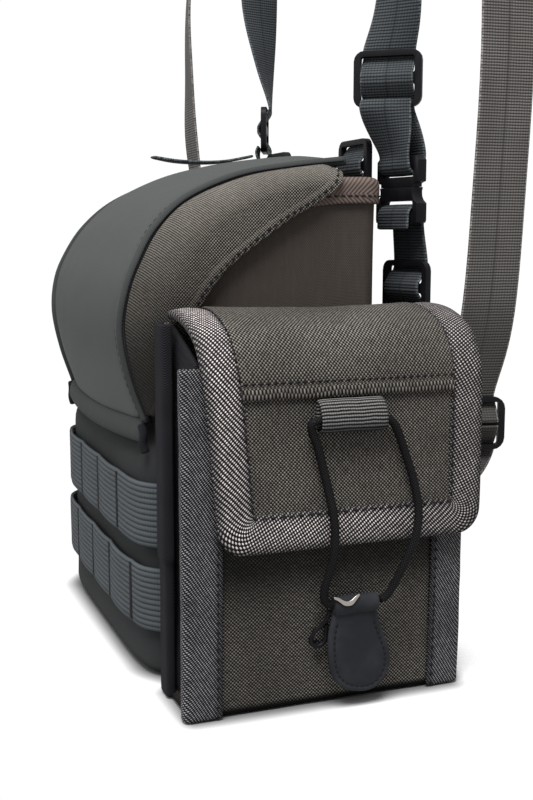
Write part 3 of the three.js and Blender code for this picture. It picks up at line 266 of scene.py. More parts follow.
# Floor, in metres: half its side, its gap under the case, the distances from the object between which it
# fades and its painted contact shadow ends, the shadow's share, the footprint's corners and the pouch's
# swell.
FLOOR = dict(half=4.0, below=0.0004, fade=(0.004, 0.03), contact=(-0.004, 0.01), contact_share=0.88,
             case_corner=0.02, pouch_corner=0.003, pouch_swell=0.003, pale=(0.56, 0.56, 0.56),
             bright=(0.59, 0.59, 0.59), dark=(0.03, 0.03, 0.032))


def metres(name, description, default):
    """A length setting with the default given in metres."""
    return FloatProperty(name=name, description=description, default=default, unit="LENGTH")


def colour(name, description, default):
    """A colour setting with the linear default given."""
    return FloatVectorProperty(
        name=name, description=description, default=default, size=3, min=0.0, max=1.0, subtype="COLOR")


class HarnessSizes(bpy.types.PropertyGroup):
    """Sizes of weaves, ribs, stitches and cord cover."""

    canvas_pitch: metres("Canvas Thread", "Spacing of the pouch canvas threads", 0.00067)
    wing_pitch: metres("Wing Thread", "Spacing of the wing canvas threads", 0.0006)
    case_pitch: metres("Case Thread", "Spacing of the case cloth threads", 0.00045)
    lid_pitch: metres("Lid Thread", "Spacing of the lid cloth threads", 0.0005)
    tape_pitch: metres("Flap Tape Yarn", "Spacing of the flap tape's yarns", 0.00073)
    edge_tape_pitch: metres("Edge Tape Yarn", "Spacing of the pouch edge tape's yarns", 0.00058)
    rim_pitch: metres("Rim Tape Rib", "Spacing of the rim tape's slanted ribs", 0.0017)
    dark_pitch: metres("Dark Tape Pitch", "Rib of the gussets and rear tapes", 0.0009)
    rib_pitch: metres("Row Rib", "Spacing of the webbing rows' lengthwise ribs", 0.0021)
    wale_pitch: metres("Strap Wale", "Spacing of the straps' lengthwise yarns", 0.0012)
    pick_pitch: metres("Webbing Pick", "Spacing of the webbing's cross yarns", 0.00115)
    braid_pitch: metres("Cord Braid", "Length of one braid cell on the elastic cord", 0.0012)
    stitch_pitch: metres("Stitch Pitch", "Distance from one stitch to the next", 0.0034)
    stitch_length: metres("Stitch Length", "Length of a stitch", 0.0024)
    stitch_width: metres("Stitch Width", "Width of the sewing thread", 0.0007)
    stitch_seed: IntProperty(
        name="Stitch Seed", description="Seed of the small turns of the stitches", default=7)


class HarnessColours(bpy.types.PropertyGroup):
    """Linear base colours of the finishes."""

    canvas: colour("Pouch Canvas", "Light thread of the pouch canvas", (0.162, 0.149, 0.132))
    canvas_ground: colour("Canvas Ground", "Dark thread of the pouch canvas", (0.0035, 0.0034, 0.003))
    wing: colour("Wing Canvas", "Light thread of the lid's wings", (0.215, 0.196, 0.172))
    wing_ground: colour("Wing Ground", "Dark thread of the lid's wings", (0.004, 0.004, 0.0035))
    case: colour("Case Cloth", "Light thread of the case cloth", (0.05, 0.042, 0.037))
    case_ground: colour("Case Ground", "Dark thread of the case cloth", (0.024, 0.02, 0.0175))
    case_front: colour("Case Front", "Grey of the case's front panel", (0.0135, 0.0152, 0.0165))
    lid: colour("Lid Cloth", "Light thread of the lid cloth", (0.043, 0.0455, 0.0445))
    lid_ground: colour("Lid Ground", "Dark thread of the lid cloth", (0.028, 0.0305, 0.03))
    tape: colour("Flap Tape Yarn", "Light yarn of the flap tape", (0.66, 0.594, 0.583))
    tape_ground: colour("Flap Tape Ground", "Dark ground of the tapes", (0.0028, 0.0028, 0.0032))
    edge_tape: colour("Edge Tape Yarn", "Light yarn of the pouch's edge tapes", (0.27, 0.264, 0.284))
    dark_tape: colour("Dark Tape Yarn", "Yarn of the gussets and rear tapes", (0.0125, 0.0125, 0.015))
    rim: colour("Rim Tape", "Warm herringbone tape of the case rim", (0.075, 0.057, 0.05))
    webbing: colour("Webbing", "Grey webbing of the rows", (0.037, 0.042, 0.0455))
    strap: colour("Strap Yarn", "Light yarn of the straps", (0.038, 0.043, 0.046))
    strap_ground: colour("Strap Ground", "Dark ground of the straps", (0.009, 0.01, 0.0115))
    lower_strap: colour("Lower Strap Yarn", "Light yarn of the lower straps", (0.098, 0.092, 0.087))
    tab: colour("Flap Tab Yarn", "Light cross yarn of the flap's tab", (0.115, 0.112, 0.109))
    plastic: colour("Plastic", "Black moulded plastic", (0.003, 0.003, 0.0038))
    cord: colour("Cord", "Black braided cord cover", (0.0032, 0.0032, 0.0036))
    pull_tab: colour("Pull Tab", "Charcoal pull tab", (0.0078, 0.0086, 0.0104))
    metal: colour("Metal", "Bright clip", (0.36, 0.33, 0.3))
    thread: colour("Thread", "Dark sewing thread", (0.006, 0.006, 0.007))


class StudioSettings(bpy.types.PropertyGroup):
    """Camera and light."""

    camera: FloatVectorProperty(
        name="Camera", description="Place of the camera in the frame", default=(0.4684, -0.207, -0.4321),
        size=3, subtype="TRANSLATION", unit="LENGTH")
    azimuth: FloatProperty(
        name="Azimuth", description="Turn of the camera from the case's front", default=math.radians(68.93),
        subtype="ANGLE")
    pitch: FloatProperty(
        name="Pitch", description="How far the camera looks down", default=math.radians(8.43),
        subtype="ANGLE")
    lens: FloatProperty(
        name="Lens", description="Focal length on a 36 mm long side", default=51.05, unit="CAMERA")
    sky: FloatProperty(
        name="Sky", description="Strength of the white surround", default=1.02, min=0.0)
    key: FloatProperty(
        name="Key", description="Power of the large top light, in watts", default=36.5, min=0.0)
    side: FloatProperty(
        name="Side", description="Power of the light in front of the lid, in watts", default=8.0, min=0.0)


Shell = namedtuple("Shell", "points faces uvs edge")


# Curves and tables
def mix(a, b, t):
    """Value between a and b."""
    return a + (b - a) * t


def clamp01(t):
    """Value held between 0 and 1."""
    return min(max(t, 0.0), 1.0)


def ease(t):
    """Smooth step from 0 to 1."""
    t = clamp01(t)
    return t * t * (3 - 2 * t)


def smooth_table(rows):
    """Reader of a table's columns as one smooth curve from 0 to 1."""
    last = len(rows) - 1

    def slope(name, i):
        before = rows[max(i - 1, 0)][name]
        after = rows[min(i + 1, last)][name]
        return (after - before) / (1 if i in (0, last) else 2)

    def read(t, name):
        place = clamp01(t) * last
        i = min(int(place), last - 1)
        f = place - i
        f2 = f * f
        f3 = f2 * f
        return ((2 * f3 - 3 * f2 + 1) * rows[i][name] + (f3 - 2 * f2 + f) * slope(name, i)
                + (3 * f2 - 2 * f3) * rows[i + 1][name] + (f3 - f2) * slope(name, i + 1))

    return read


def smooth_line(points, count):
    """Points along one smooth curve through the given ones."""
    rows = [dict(enumerate(p)) for p in points]
    read = smooth_table(rows)
    width = len(points[0])
    dense = [[read(i / (count * 4), k) for k in range(width)] for i in range(count * 4 + 1)]
    return even_line(dense, count)


def run_along(points):
    """Distance along a line at each of its points."""
    return np.concatenate([[0], np.cumsum(np.linalg.norm(np.diff(points, axis=0), axis=1))])


def even_line(points, count):
    """The line through the points, cut into equal steps."""
    points = np.asarray(points, dtype=float)
    run = run_along(points)
    at = np.linspace(0, run[-1], count + 1)
    return np.stack([np.interp(at, run, points[:, k]) for k in range(points.shape[1])], axis=1)


def rounded_line(points, radius, count):
    """An open line with its corners rounded, cut into equal steps."""
    points = [np.asarray(p, dtype=float) for p in points]
    made = [points[0]]
    for before, here, after in zip(points, points[1:], points[2:]):
        back = (before - here) / np.linalg.norm(before - here)
        on = (after - here) / np.linalg.norm(after - here)
        start = here + back * radius
        stop = here + on * radius
        for t in np.linspace(0, 1, 7):
            made.append((1 - t) ** 2 * start + 2 * t * (1 - t) * here + t ** 2 * stop)
    made.append(points[-1])
    return even_line(made, count)


def line_at(line, share):
    """Point at a share of an evenly cut line."""
    last = len(line) - 1
    place = clamp01(share) * last
    i = min(int(place), last - 1)
    return mix(line[i], line[i + 1], place - i)


def dents(cloth, point):
    """Soft rise and fall of a cloth at a place, in millimetres."""
    rise = 0.0
    for deep, size, shift in DENTS[cloth]:
        at = Vector((point[0] / size + shift, point[1] / size - shift, point[2] / size))
        rise += deep * noise.noise(at)
    return rise


def dented(cloth):
    """Relief of a cloth that has its soft dents alone."""
    return lambda u, v, point: dents(cloth, point)


# Cloth shells
def grid_normals(grid, wrap):
    """Unit normals of a grid of points, on the side of du x dv."""
    if wrap:
        du = np.roll(grid, -1, axis=0) - np.roll(grid, 1, axis=0)
    else:
        du = np.gradient(grid, axis=0)
    dv = np.gradient(grid, axis=1)
    normal = np.cross(du, dv)
    return normal / np.maximum(np.linalg.norm(normal, axis=2, keepdims=True), 1e-9)


def grid_lengths(grid, wrap):
    """Distances along and across a grid in metres, for its cloth's weave."""
    rows, columns, _ = grid.shape
    closed = np.concatenate([grid, grid[:1]]) if wrap else grid
    along = run_along(closed[:, columns // 2])
    steps = np.linalg.norm(np.diff(closed, axis=1), axis=2)
    across = np.concatenate([np.zeros((len(closed), 1)), np.cumsum(steps, axis=1)], axis=1)
    full = across[:, -1:]
    edge = np.minimum(across, full - across)
    across = across - across[:, columns // 2][:, None]
    uv = np.stack([np.repeat(along[:, None], columns, axis=1), across], axis=2)
    return uv * MM, edge[:rows] * MM


def cloth_wall(at, steps, thick, lift=0.0, relief=None, wrap=False):
    """A cloth wall on a grid of points at(u, v), thick on the side of du x dv."""
    rows, columns = steps
    count = rows if wrap else rows + 1
    grid = np.array([[at(i / rows, j / columns) for j in range(columns + 1)] for i in range(count)],
                    dtype=float)
    normal = grid_normals(grid, wrap)
    uv, edge = grid_lengths(grid, wrap)
    if relief is not None:
        rise = np.array([[relief(i / rows, j / columns, grid[i, j]) for j in range(columns + 1)]
                         for i in range(count)])
        grid = grid + normal * rise[..., None]
        normal = grid_normals(grid, wrap)
    layers = np.concatenate([(grid + normal * rise).reshape(-1, 3) for rise in (lift, lift + thick)])
    half = count * (columns + 1)
    faces = []
    uvs = []

    def quad(*corners):
        faces.append([layer * half + (i % count) * (columns + 1) + j for i, j, layer in corners])
        uvs.extend(uv[i, j] for i, j, _ in corners)

    for i in range(rows):
        for j in range(columns):
            quad((i, j, 1), (i + 1, j, 1), (i + 1, j + 1, 1), (i, j + 1, 1))
            quad((i, j, 0), (i, j + 1, 0), (i + 1, j + 1, 0), (i + 1, j, 0))
        quad((i, 0, 0), (i + 1, 0, 0), (i + 1, 0, 1), (i, 0, 1))
        quad((i + 1, columns, 0), (i, columns, 0), (i, columns, 1), (i + 1, columns, 1))
    if not wrap:
        for j in range(columns):
            quad((0, j, 0), (0, j, 1), (0, j + 1, 1), (0, j + 1, 0))
            quad((rows, j + 1, 0), (rows, j + 1, 1), (rows, j, 1), (rows, j, 0))
    edges = np.concatenate([edge.reshape(-1), edge.reshape(-1)])
    return Shell(layers, faces, uvs, edges)


def ring_skin(rings):
    """A closed skin over rings of equal count, each counter-clockwise seen from the far end."""
    rings = np.asarray(rings, dtype=float)
    levels, sides, _ = rings.shape
    closed = np.concatenate([rings, rings[:, :1]], axis=1)
    around = np.concatenate([np.zeros((levels, 1)), np.cumsum(
        np.linalg.norm(np.diff(closed, axis=1), axis=2), axis=1)], axis=1) * MM
    along = np.concatenate([[0], np.cumsum(np.linalg.norm(np.diff(rings, axis=0), axis=2).mean(axis=1))]) * MM
    middle = levels // 2
    faces = []
    uvs = []
    for k in range(levels - 1):
        for i in range(sides):
            n = (i + 1) % sides
            faces.append([k * sides + i, k * sides + n, (k + 1) * sides + n, (k + 1) * sides + i])
            low, high = around[middle, i], around[middle, i + 1]
            uvs.extend([(along[k], low), (along[k], high), (along[k + 1], high), (along[k + 1], low)])
    flat = rings.reshape(-1, 3)
    for ring, order in ((0, range(sides - 1, -1, -1)), (levels - 1, range(sides))):
        faces.append([ring * sides + i for i in order])
        uvs.extend(cap_uv(rings[ring], i) for i in order)
    return Shell(flat, faces, uvs, np.full(len(flat), 0.01))


def cap_uv(ring, i):
    """Flat cloth coordinates of a ring's point on its cap."""
    spread = np.ptp(ring, axis=0)
    a, b = np.argsort(spread)[1:]
    return (ring[i][a] * MM, ring[i][b] * MM)


def tube(path, radius, sides):
    """A round tube along points, with even frames."""
    path = np.asarray(path, dtype=float)
    tangents = np.gradient(path, axis=0)
    tangents /= np.linalg.norm(tangents, axis=1, keepdims=True)
    across = np.cross(tangents[0], (0.3, 0.2, 0.93))
    across /= np.linalg.norm(across)
    rings = []
    for place, along in zip(path, tangents):
        across = across - along * np.dot(across, along)
        across /= np.linalg.norm(across)
        other = np.cross(along, across)
        angles = np.arange(sides) * 2 * math.pi / sides
        rings.append(place + radius * (np.cos(angles)[:, None] * across + np.sin(angles)[:, None] * other))
    return ring_skin(rings)


def joined(*shells):
    """Several shells as one."""
    faces = []
    uvs = []
    shift = 0
    for shell in shells:
        faces.extend([[v + shift for v in face] for face in shell.faces])
        uvs.extend(shell.uvs)
        shift += len(shell.points)
    points = np.concatenate([s.points for s in shells])
    return Shell(points, faces, uvs, np.concatenate([s.edge for s in shells]))


def in_frame(points):
    """Points of the case's own frame, in millimetres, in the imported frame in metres."""
    return (np.asarray(points, dtype=float) - HANG) * MM


def add_piece(name, shell, material, slot, *nodes, subdivide=1):
    """A cloth piece from a shell, riding on the body in place of its solids."""
    mesh = bpy.data.meshes.new(name)
    mesh.from_pydata(in_frame(shell.points).tolist(), [], shell.faces)
    layer = mesh.uv_layers.new(name="cloth")
    layer.data.foreach_set("uv", np.asarray(shell.uvs, dtype=np.float32).reshape(-1))
    edge = mesh.attributes.new("edge", "FLOAT", "POINT")
    edge.data.foreach_set("value", np.asarray(shell.edge, dtype=np.float32))
    mesh.polygons.foreach_set("use_smooth", [True] * len(mesh.polygons))
    mesh.materials.append(material)
    obj = bpy.data.objects.new(name, mesh)
    bpy.context.scene.collection.objects.link(obj)
    if subdivide:
        smooth = obj.modifiers.new("Smooth Cloth", "SUBSURF")
        smooth.levels = subdivide
        smooth.render_levels = subdivide
    return seated(obj, slot, *nodes)


def seated(obj, slot, *nodes):
    """Rides on the body and stands for the named solids; the slot is not used."""
    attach(obj, BODY)
    if nodes:
        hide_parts(*nodes)
    return obj


# Shader expressions
class Signal:
    """A value in a shader; arithmetic on it adds Math nodes."""

    def __init__(self, shader, socket):
        self.shader = shader
        self.socket = socket

    def math(self, operation, *values):
        return self.shader.node("ShaderNodeMath", {"operation": operation}, dict(enumerate(values)))

    def __add__(self, other):
        return self.math("ADD", self, other)

    __radd__ = __add__

    def __sub__(self, other):
        return self.math("SUBTRACT", self, other)

    def __rsub__(self, other):
        return self.math("SUBTRACT", other, self)

    def __mul__(self, other):
        return self.math("MULTIPLY", self, other)

    __rmul__ = __mul__

    def __truediv__(self, other):
        return self.math("DIVIDE", self, other)

    def __pow__(self, other):
        return self.math("POWER", self, other)

    def size(self):
        return self.math("ABSOLUTE", self)

    def swing(self):
        """Sine that changes sign at each unit."""
        turned = self * math.pi
        return self.math("SINE", turned)

    def rib(self):
        """Rounded ribs between 0 and 1, one in each unit."""
        return self.swing().size()

    def wave(self):
        """Up and down between 0 and 1 once in each unit."""
        return self.math("PINGPONG", self, 0.5) * 2

    def step(self, low, high):
        """Smooth 0 to 1 between two values."""
        return self.shader.node("ShaderNodeMapRange", {"interpolation_type": "SMOOTHSTEP"},
                                {"Value": self, "From Min": low, "From Max": high})


class Shader:
    """One material's nodes."""

    def __init__(self, name, roughness=0.9, specular=0.06):
        self.material = bpy.data.materials.new(name)
        self.material.use_nodes = True
        self.tree = self.material.node_tree
        self.tree.nodes.clear()
        self.surface = self.tree.nodes.new("ShaderNodeBsdfPrincipled")
        out = self.tree.nodes.new("ShaderNodeOutputMaterial")
        self.tree.links.new(self.surface.outputs["BSDF"], out.inputs["Surface"])
        self.surface.inputs["Roughness"].default_value = roughness
        self.surface.inputs["Specular IOR Level"].default_value = specular

    def node(self, kind, settings=None, inputs=None, output=0):
        """Adds a node, sets it up, feeds its sockets and returns one of its outputs."""
        node = self.tree.nodes.new(kind)
        for name, value in (settings or {}).items():
            setattr(node, name, value)
        for name, value in (inputs or {}).items():
            self.feed(node.inputs[name], value)
        return Signal(self, node.outputs[output])

    def feed(self, socket, value):
        """Links a signal to a socket, or sets its value."""
        if isinstance(value, Signal):
            self.tree.links.new(value.socket, socket)
        elif socket.type == "RGBA" and len(value) == 3:
            socket.default_value = (*value, 1.0)
        else:
            socket.default_value = value

    def split(self, vector):
        """The three parts of a vector."""
        node = self.node("ShaderNodeSeparateXYZ", inputs={0: vector}).socket.node
        return [Signal(self, socket) for socket in node.outputs]

    def cloth(self):
        """Distances along and across the cloth, in metres."""
        u, v, _ = self.split(self.node("ShaderNodeTexCoord", output="UV"))
        return u, v

    def level(self):
        """Distances along and up the case's sides, carried round its corners from its middle."""
        x, y, z = self.split(self.place())
        out = x.size()
        return y + out, z - out

    def edge(self):
        """Distance from the cloth's edge, in metres."""
        return self.node("ShaderNodeAttribute", {"attribute_name": "edge"}, output="Fac")

    def rising(self, low, high):
        """Smooth 0 to 1 between two heights, in millimetres of the case's own frame."""
        return self.split(self.place())[2].step((low - HANG[2]) * MM, (high - HANG[2]) * MM)

    def rearward(self, front, rear):
        """Smooth 0 to 1 from front to rear, in millimetres of the case's own frame."""
        return self.split(self.place())[1].step((front - HANG[1]) * MM, (rear - HANG[1]) * MM)

    def place(self):
        """Place on the object, in metres."""
        return self.node("ShaderNodeTexCoord", output="Object")

    def vector(self, x, y, z=0.0):
        return self.node("ShaderNodeCombineXYZ", inputs={"X": x, "Y": y, "Z": z})

    def mottle(self, at, scale, detail=2.0):
        """Soft noise between 0 and 1."""
        return self.node("ShaderNodeTexNoise", {"noise_dimensions": "3D"},
                         {"Vector": at, "Scale": scale, "Detail": detail, "Roughness": 0.5})

    def drift(self, at, scale):
        """Soft noise between -0.5 and 0.5."""
        return self.mottle(at, scale) - 0.5

    def patches(self, scale, low, high):
        """Broad patches over the object, between 0 and 1."""
        return self.mottle(self.place(), scale, 3.0).step(low, high)

    def streaks(self, scales, detail=2.0):
        """Soft noise between 0 and 1, drawn out along the axis of the smallest scale."""
        at = self.node("ShaderNodeMapping", inputs={"Vector": self.place(), "Scale": scales})
        return self.mottle(at, 1.0, detail)

    def blend(self, low, high, share):
        """Mix of two colours."""
        return self.node("ShaderNodeMix", {"data_type": "RGBA", "blend_type": "MIX", "clamp_factor": True},
                         {"Factor": share, 6: low, 7: high}, output=2)

    def finish(self, base, height=None, depth=0.0003, strength=0.6, roughness=None):
        """Feeds the surface and returns the material."""
        self.feed(self.surface.inputs["Base Color"], base)
        if roughness is not None:
            self.feed(self.surface.inputs["Roughness"], roughness)
        if height is not None:
            facing = {"Strength": strength, "Distance": depth, "Height": height}
            self.feed(self.surface.inputs["Normal"], self.node("ShaderNodeBump", inputs=facing))
        return self.material


def shade(base, factor):
    """A colour made darker or lighter."""
    return tuple(min(c * factor, 1.0) for c in base)


FINISHES = {}


def finish_of(name):
    """The material of a finish, made on first use."""
    if name not in FINISHES:
        FINISHES[name] = FINISH_MAKERS[name]()
    return FINISHES[name]


def colours():
    return bpy.context.scene.harness_colours


def sizes():
    return bpy.context.scene.harness_sizes


def woven(name, light, dark, pitch, depth=0.0003, strength=0.6, uneven_yarn=0.4, tone_change=0.3,
          level=False):
    """Plain-weave cloth: light threads over dark ones in a checker that slowly wanders.

    Its rows follow the cloth, or stay level round the case's sides.
    """
    shader = Shader(name)
    u, v = shader.level() if level else shader.cloth()
    flat = shader.vector(u, v)
    wander = shader.drift(flat, 70.0) * 1.6
    wobble = shader.drift(flat, 700.0) * 0.3
    crossing = (u / pitch + wander + wobble).swing() * (v / pitch - wander + wobble).swing()
    yarn = shader.mottle(shader.vector(u * 320.0, v * 1300.0), 1.0).step(0.25, 0.75)
    share = crossing.step(-0.25, 0.55) * (1 - uneven_yarn + yarn * uneven_yarn)
    tone = shader.patches(34.0, 0.3, 0.75)
    toned = shader.blend(shader.blend(dark, light, share), dark, (1 - tone) * tone_change)
    return shader, toned, dict(height=crossing.size() ** 0.7, depth=depth, strength=strength)


def canvas_finish():
    """Pouch canvas with a painted shadow under the flap and painted shade towards its lower front end; darker
    along its lowest edge.
    """
    ground = colours().canvas_ground
    shader, cloth, relief = woven("Pouch Canvas", colours().canvas, ground, sizes().canvas_pitch,
                                  uneven_yarn=0.55)
    # Painted shadow under the flap's edge.
    under = shader.rising(*HEIGHTS["under_flap"]) * (1 - shader.rising(*HEIGHTS["flap_starts"])) * 0.65
    # Painted shade towards the lower front end of the pouch.
    front = 1 - shader.rearward(*DEPTHS["pouch_front"])
    low = 1 - shader.rising(*HEIGHTS["pouch_low"])
    with_painted_shade = shader.blend(cloth, ground, under + front * low * 0.25)
    foot = 1 - shader.rising(*HEIGHTS["pouch_foot"])
    return shader.finish(shader.blend(with_painted_shade, shade(ground, 0.6), foot), **relief)


def wing_finish():
    """Wing canvas with painted shade towards its foot."""
    ground = colours().wing_ground
    shader, cloth, relief = woven("Wing Canvas", colours().wing, ground, sizes().wing_pitch, level=True)
    # Painted shade on the lower part of the wing.
    low = 1 - shader.rising(*HEIGHTS["wing"])
    return shader.finish(shader.blend(cloth, ground, low * 0.88), **relief)


def case_finish():
    """Case cloth with faint upright slubs, greyer on the front panel."""
    shader, cloth, relief = woven("Body Cloth", colours().case, colours().case_ground, sizes().case_pitch,
                                  strength=0.4, tone_change=0.2)
    slubs = shader.streaks((420.0, 420.0, 60.0), 3.0).step(0.45, 0.8)
    side = shader.blend(cloth, shade(colours().case, 1.25), slubs * 0.16)
    front = 1 - shader.rearward(*DEPTHS["case_front"])
    return shader.finish(shader.blend(side, colours().case_front, front * 0.85), **relief)


def lid_finish():
    """Smooth lid cloth with painted light making it a little paler towards its foot."""
    shader, cloth, relief = woven("Lid Cloth", colours().lid, colours().lid_ground, sizes().lid_pitch,
                                  depth=0.00012, strength=0.3, tone_change=0.12)
    # Painted light on the lid's lower part.
    low = 1 - shader.rising(*HEIGHTS["lid_foot"])
    return shader.finish(shader.blend(cloth, shade(colours().lid, 1.3), low * 0.8), **relief)


def shaded_welt_finish():
    """Lid cloth darkened with painted shade, for the piping and the rolled band."""
    shader, cloth, relief = woven("Lid Welt", shade(colours().lid, 0.78), shade(colours().lid_ground, 0.7),
                                  sizes().lid_pitch, depth=0.00012, strength=0.3)
    return shader.finish(cloth, **relief)


def twill(name, light, dark, pitch, rear_shade=0.0):
    """Twill tape: light yarn dots in slanted rows on a dark ground, with painted shade along its rounded
    edges and towards the rear.
    """
    shader = Shader(name, roughness=0.8, specular=0.1)
    u, v = shader.cloth()
    flat = shader.vector(u, v)
    wander = shader.drift(flat, 60.0) * 1.3
    wobble = shader.drift(flat, 600.0) * 0.25
    x = u / pitch + wander + wobble
    y = v / pitch - wander + wobble + x * 0.35
    over = (x.swing() * y.swing()).step(-0.05, 0.7)
    bright = shader.mottle(flat, 500.0, 1.0).step(0.2, 0.8)
    tone = shader.patches(60.0, 0.25, 0.8)
    # Painted shade towards the rear of the tape.
    rear = shader.rearward(*DEPTHS["tape_rear"])
    # Painted shade along the tape's rounded edges, and towards the rear.
    full = (0.3 + shader.edge().step(0.0, 0.0042) * 0.7) * (1 - rear * rear_shade)
    base = shader.blend(dark, light, over * full * (0.5 + bright * 0.5) * (0.65 + tone * 0.35))
    return shader.finish(base, over, 0.0004, 0.8)


def tape_finish():
    return twill("Flap Tape", colours().tape, colours().tape_ground, sizes().tape_pitch, rear_shade=0.35)


def edge_tape_finish():
    return twill("Edge Tape", colours().edge_tape, colours().tape_ground, sizes().edge_tape_pitch)


def herringbone(name, light, dark, pitch, stripe):
    """Slanted ribs that turn at each stripe."""
    shader = Shader(name)
    u, v = shader.cloth()
    wobble = shader.drift(shader.vector(u, v), 300.0) * 0.25
    zigzag = (v / (pitch * stripe)).wave() * stripe * 0.5
    rib = (u / pitch + zigzag + wobble).rib()
    tone = shader.mottle(shader.place(), 90.0)
    base = shader.blend(dark, light, rib * (0.6 + tone * 0.6))
    return shader.finish(base, rib, 0.0004, 0.7)


def rim_finish():
    yarn = colours().rim
    return herringbone("Rim Tape", shade(yarn, 1.2), shade(yarn, 0.42), sizes().rim_pitch, 9.0)


def dark_tape_finish():
    yarn = colours().dark_tape
    return herringbone("Dark Tape", yarn, shade(yarn, 0.15), sizes().dark_pitch, 3.0)


def row_finish():
    """Webbing of the rows: lengthwise ribs with fine cross yarns."""
    shader = Shader("Row Webbing", roughness=0.85, specular=0.08)
    base = colours().webbing
    u, v = shader.cloth()
    wobble = shader.drift(shader.vector(u, v), 300.0)
    rib = (v / sizes().rib_pitch + wobble * 0.12).rib() ** 0.6
    pick = (u / sizes().pick_pitch + wobble * 0.3).rib()
    height = rib * (0.75 + pick * 0.25)
    tone = shader.patches(45.0, 0.25, 0.8)
    ground = shader.blend(shade(base, 0.5), shade(base, 1.15), height)
    return shader.finish(shader.blend(ground, shade(base, 0.6), (1 - tone) * 0.3), height, 0.0006, 0.9)


def strap_webbing(name, yarn, ground, low_shade=0.0):
    """Strap webbing: short light dashes in a grid, dark between them and along the middle, with painted shade
    low down.
    """
    shader = Shader(name, roughness=0.8, specular=0.08)
    u, v = shader.cloth()
    flat = shader.vector(u, v)
    wobble = shader.drift(flat, 300.0)
    wale = (v / sizes().wale_pitch + wobble * 0.12).rib()
    pick = (u / sizes().pick_pitch + wobble * 0.25).rib()
    dash = pick.step(0.35, 0.85) * (0.35 + wale.step(0.15, 0.6) * 0.65)
    middle = v.size().step(0.0002, 0.0009)
    tone = shader.patches(45.0, 0.25, 0.8)
    # Painted shade on the lower part of the strap.
    low = 1 - shader.rising(*HEIGHTS["strap"])
    share = dash * (0.6 + tone * 0.4) * (0.45 + middle * 0.55) * (1 - low * low_shade)
    worn = (1 - shader.edge().step(0.0, 0.0009)) * shader.mottle(flat, 900.0).step(0.35, 0.7)
    edged = shader.blend(shader.blend(ground, yarn, share), shade(yarn, 2.2), worn * 0.6)
    return shader.finish(edged, pick * 0.6 + wale * 0.4, 0.0004, 0.8)


def strap_finish():
    return strap_webbing("Strap Webbing", colours().strap, colours().strap_ground)


def lower_strap_finish():
    yarn = colours().lower_strap
    return strap_webbing("Lower Strap Webbing", yarn, shade(yarn, 0.2), low_shade=0.7)


def tab_finish():
    """Cross-ribbed webbing of the flap's tab: light cross yarns on a dark ground, with painted shade on its
    underside below the fold.
    """
    shader = Shader("Tab Webbing", roughness=0.8, specular=0.1)
    u, v = shader.cloth()
    flat = shader.vector(u, v)
    wander = shader.drift(flat, 120.0)
    wobble = shader.drift(flat, 700.0)
    rib = (u / sizes().pick_pitch + wander * 0.7 + wobble * 0.2).rib()
    bead = (v / (TAB["bead"] * MM) + wobble * 0.3).rib()
    share = rib.step(0.5, 0.97) * (0.4 + bead * 0.6)
    # Painted shade on the tab's underside below its fold.
    clear_of_painted_shade = shader.rising(*HEIGHTS["tab_fold"])
    base = shader.blend(colours().tape_ground, colours().tab, share * (0.3 + clear_of_painted_shade * 0.7))
    return shader.finish(base, rib, 0.0005, 0.9)


def plastic_finish():
    """Moulded black plastic: fine grain, slightly uneven gloss."""
    shader = Shader("Black Plastic", roughness=0.45, specular=0.08)
    at = shader.place()
    grain = shader.mottle(at, 2600.0, 2.0)
    smear = shader.mottle(at, 140.0, 3.0)
    base = shader.blend(colours().plastic, shade(colours().plastic, 2.2), smear.step(0.45, 0.85) * 0.6)
    return shader.finish(base, grain, 0.00008, 0.35, roughness=0.38 + smear * 0.2)


def cord_finish():
    """Braided cover of the elastic cord."""
    shader = Shader("Elastic Cord", roughness=0.6, specular=0.06)
    pitch = sizes().braid_pitch
    u, v = shader.cloth()
    height = ((u / pitch + v / pitch).swing() * (u / pitch - v / pitch).swing()).size()
    base = shader.blend(shade(colours().cord, 0.6), shade(colours().cord, 2.2), height)
    return shader.finish(base, height, 0.0003, 0.7)


def pull_tab_finish():
    """Charcoal coated tab with a fine nap."""
    shader = Shader("Pull Tab", roughness=0.75, specular=0.12)
    at = shader.place()
    nap = shader.mottle(at, 1800.0, 2.0)
    tone = shader.mottle(at, 120.0, 3.0)
    base = shader.blend(colours().pull_tab, shade(colours().pull_tab, 1.7), tone.step(0.35, 0.8))
    return shader.finish(base, nap, 0.00012, 0.5, roughness=0.65 + tone * 0.2)


def metal_finish():
    """Bright metal with fine brushing."""
    shader = Shader("Clip Metal", roughness=0.28, specular=0.5)
    shader.surface.inputs["Metallic"].default_value = 1.0
    brushed = shader.streaks((900.0, 60.0, 900.0))
    base = shader.blend(shade(colours().metal, 0.75), colours().metal, brushed)
    return shader.finish(base, brushed, 0.00005, 0.3, roughness=0.2 + brushed * 0.2)


def thread_finish():
    """Dark sewing thread with a twist."""
    shader = Shader("Thread", roughness=0.8)
    twist = shader.mottle(shader.place(), 2400.0, 1.0)
    base = shader.blend(shade(colours().thread, 0.7), shade(colours().thread, 2.0), twist)
    return shader.finish(base, twist, 0.00008, 0.4)


FINISH_MAKERS = dict(
    canvas=canvas_finish, wing=wing_finish, case=case_finish, lid=lid_finish, welt=shaded_welt_finish,
    tape=tape_finish, edge_tape=edge_tape_finish, dark_tape=dark_tape_finish, rim=rim_finish, row=row_finish,
    strap=strap_finish, lower_strap=lower_strap_finish, tab=tab_finish, plastic=plastic_finish,
    cord=cord_finish, pull_tab=pull_tab_finish, metal=metal_finish, thread=thread_finish,
)


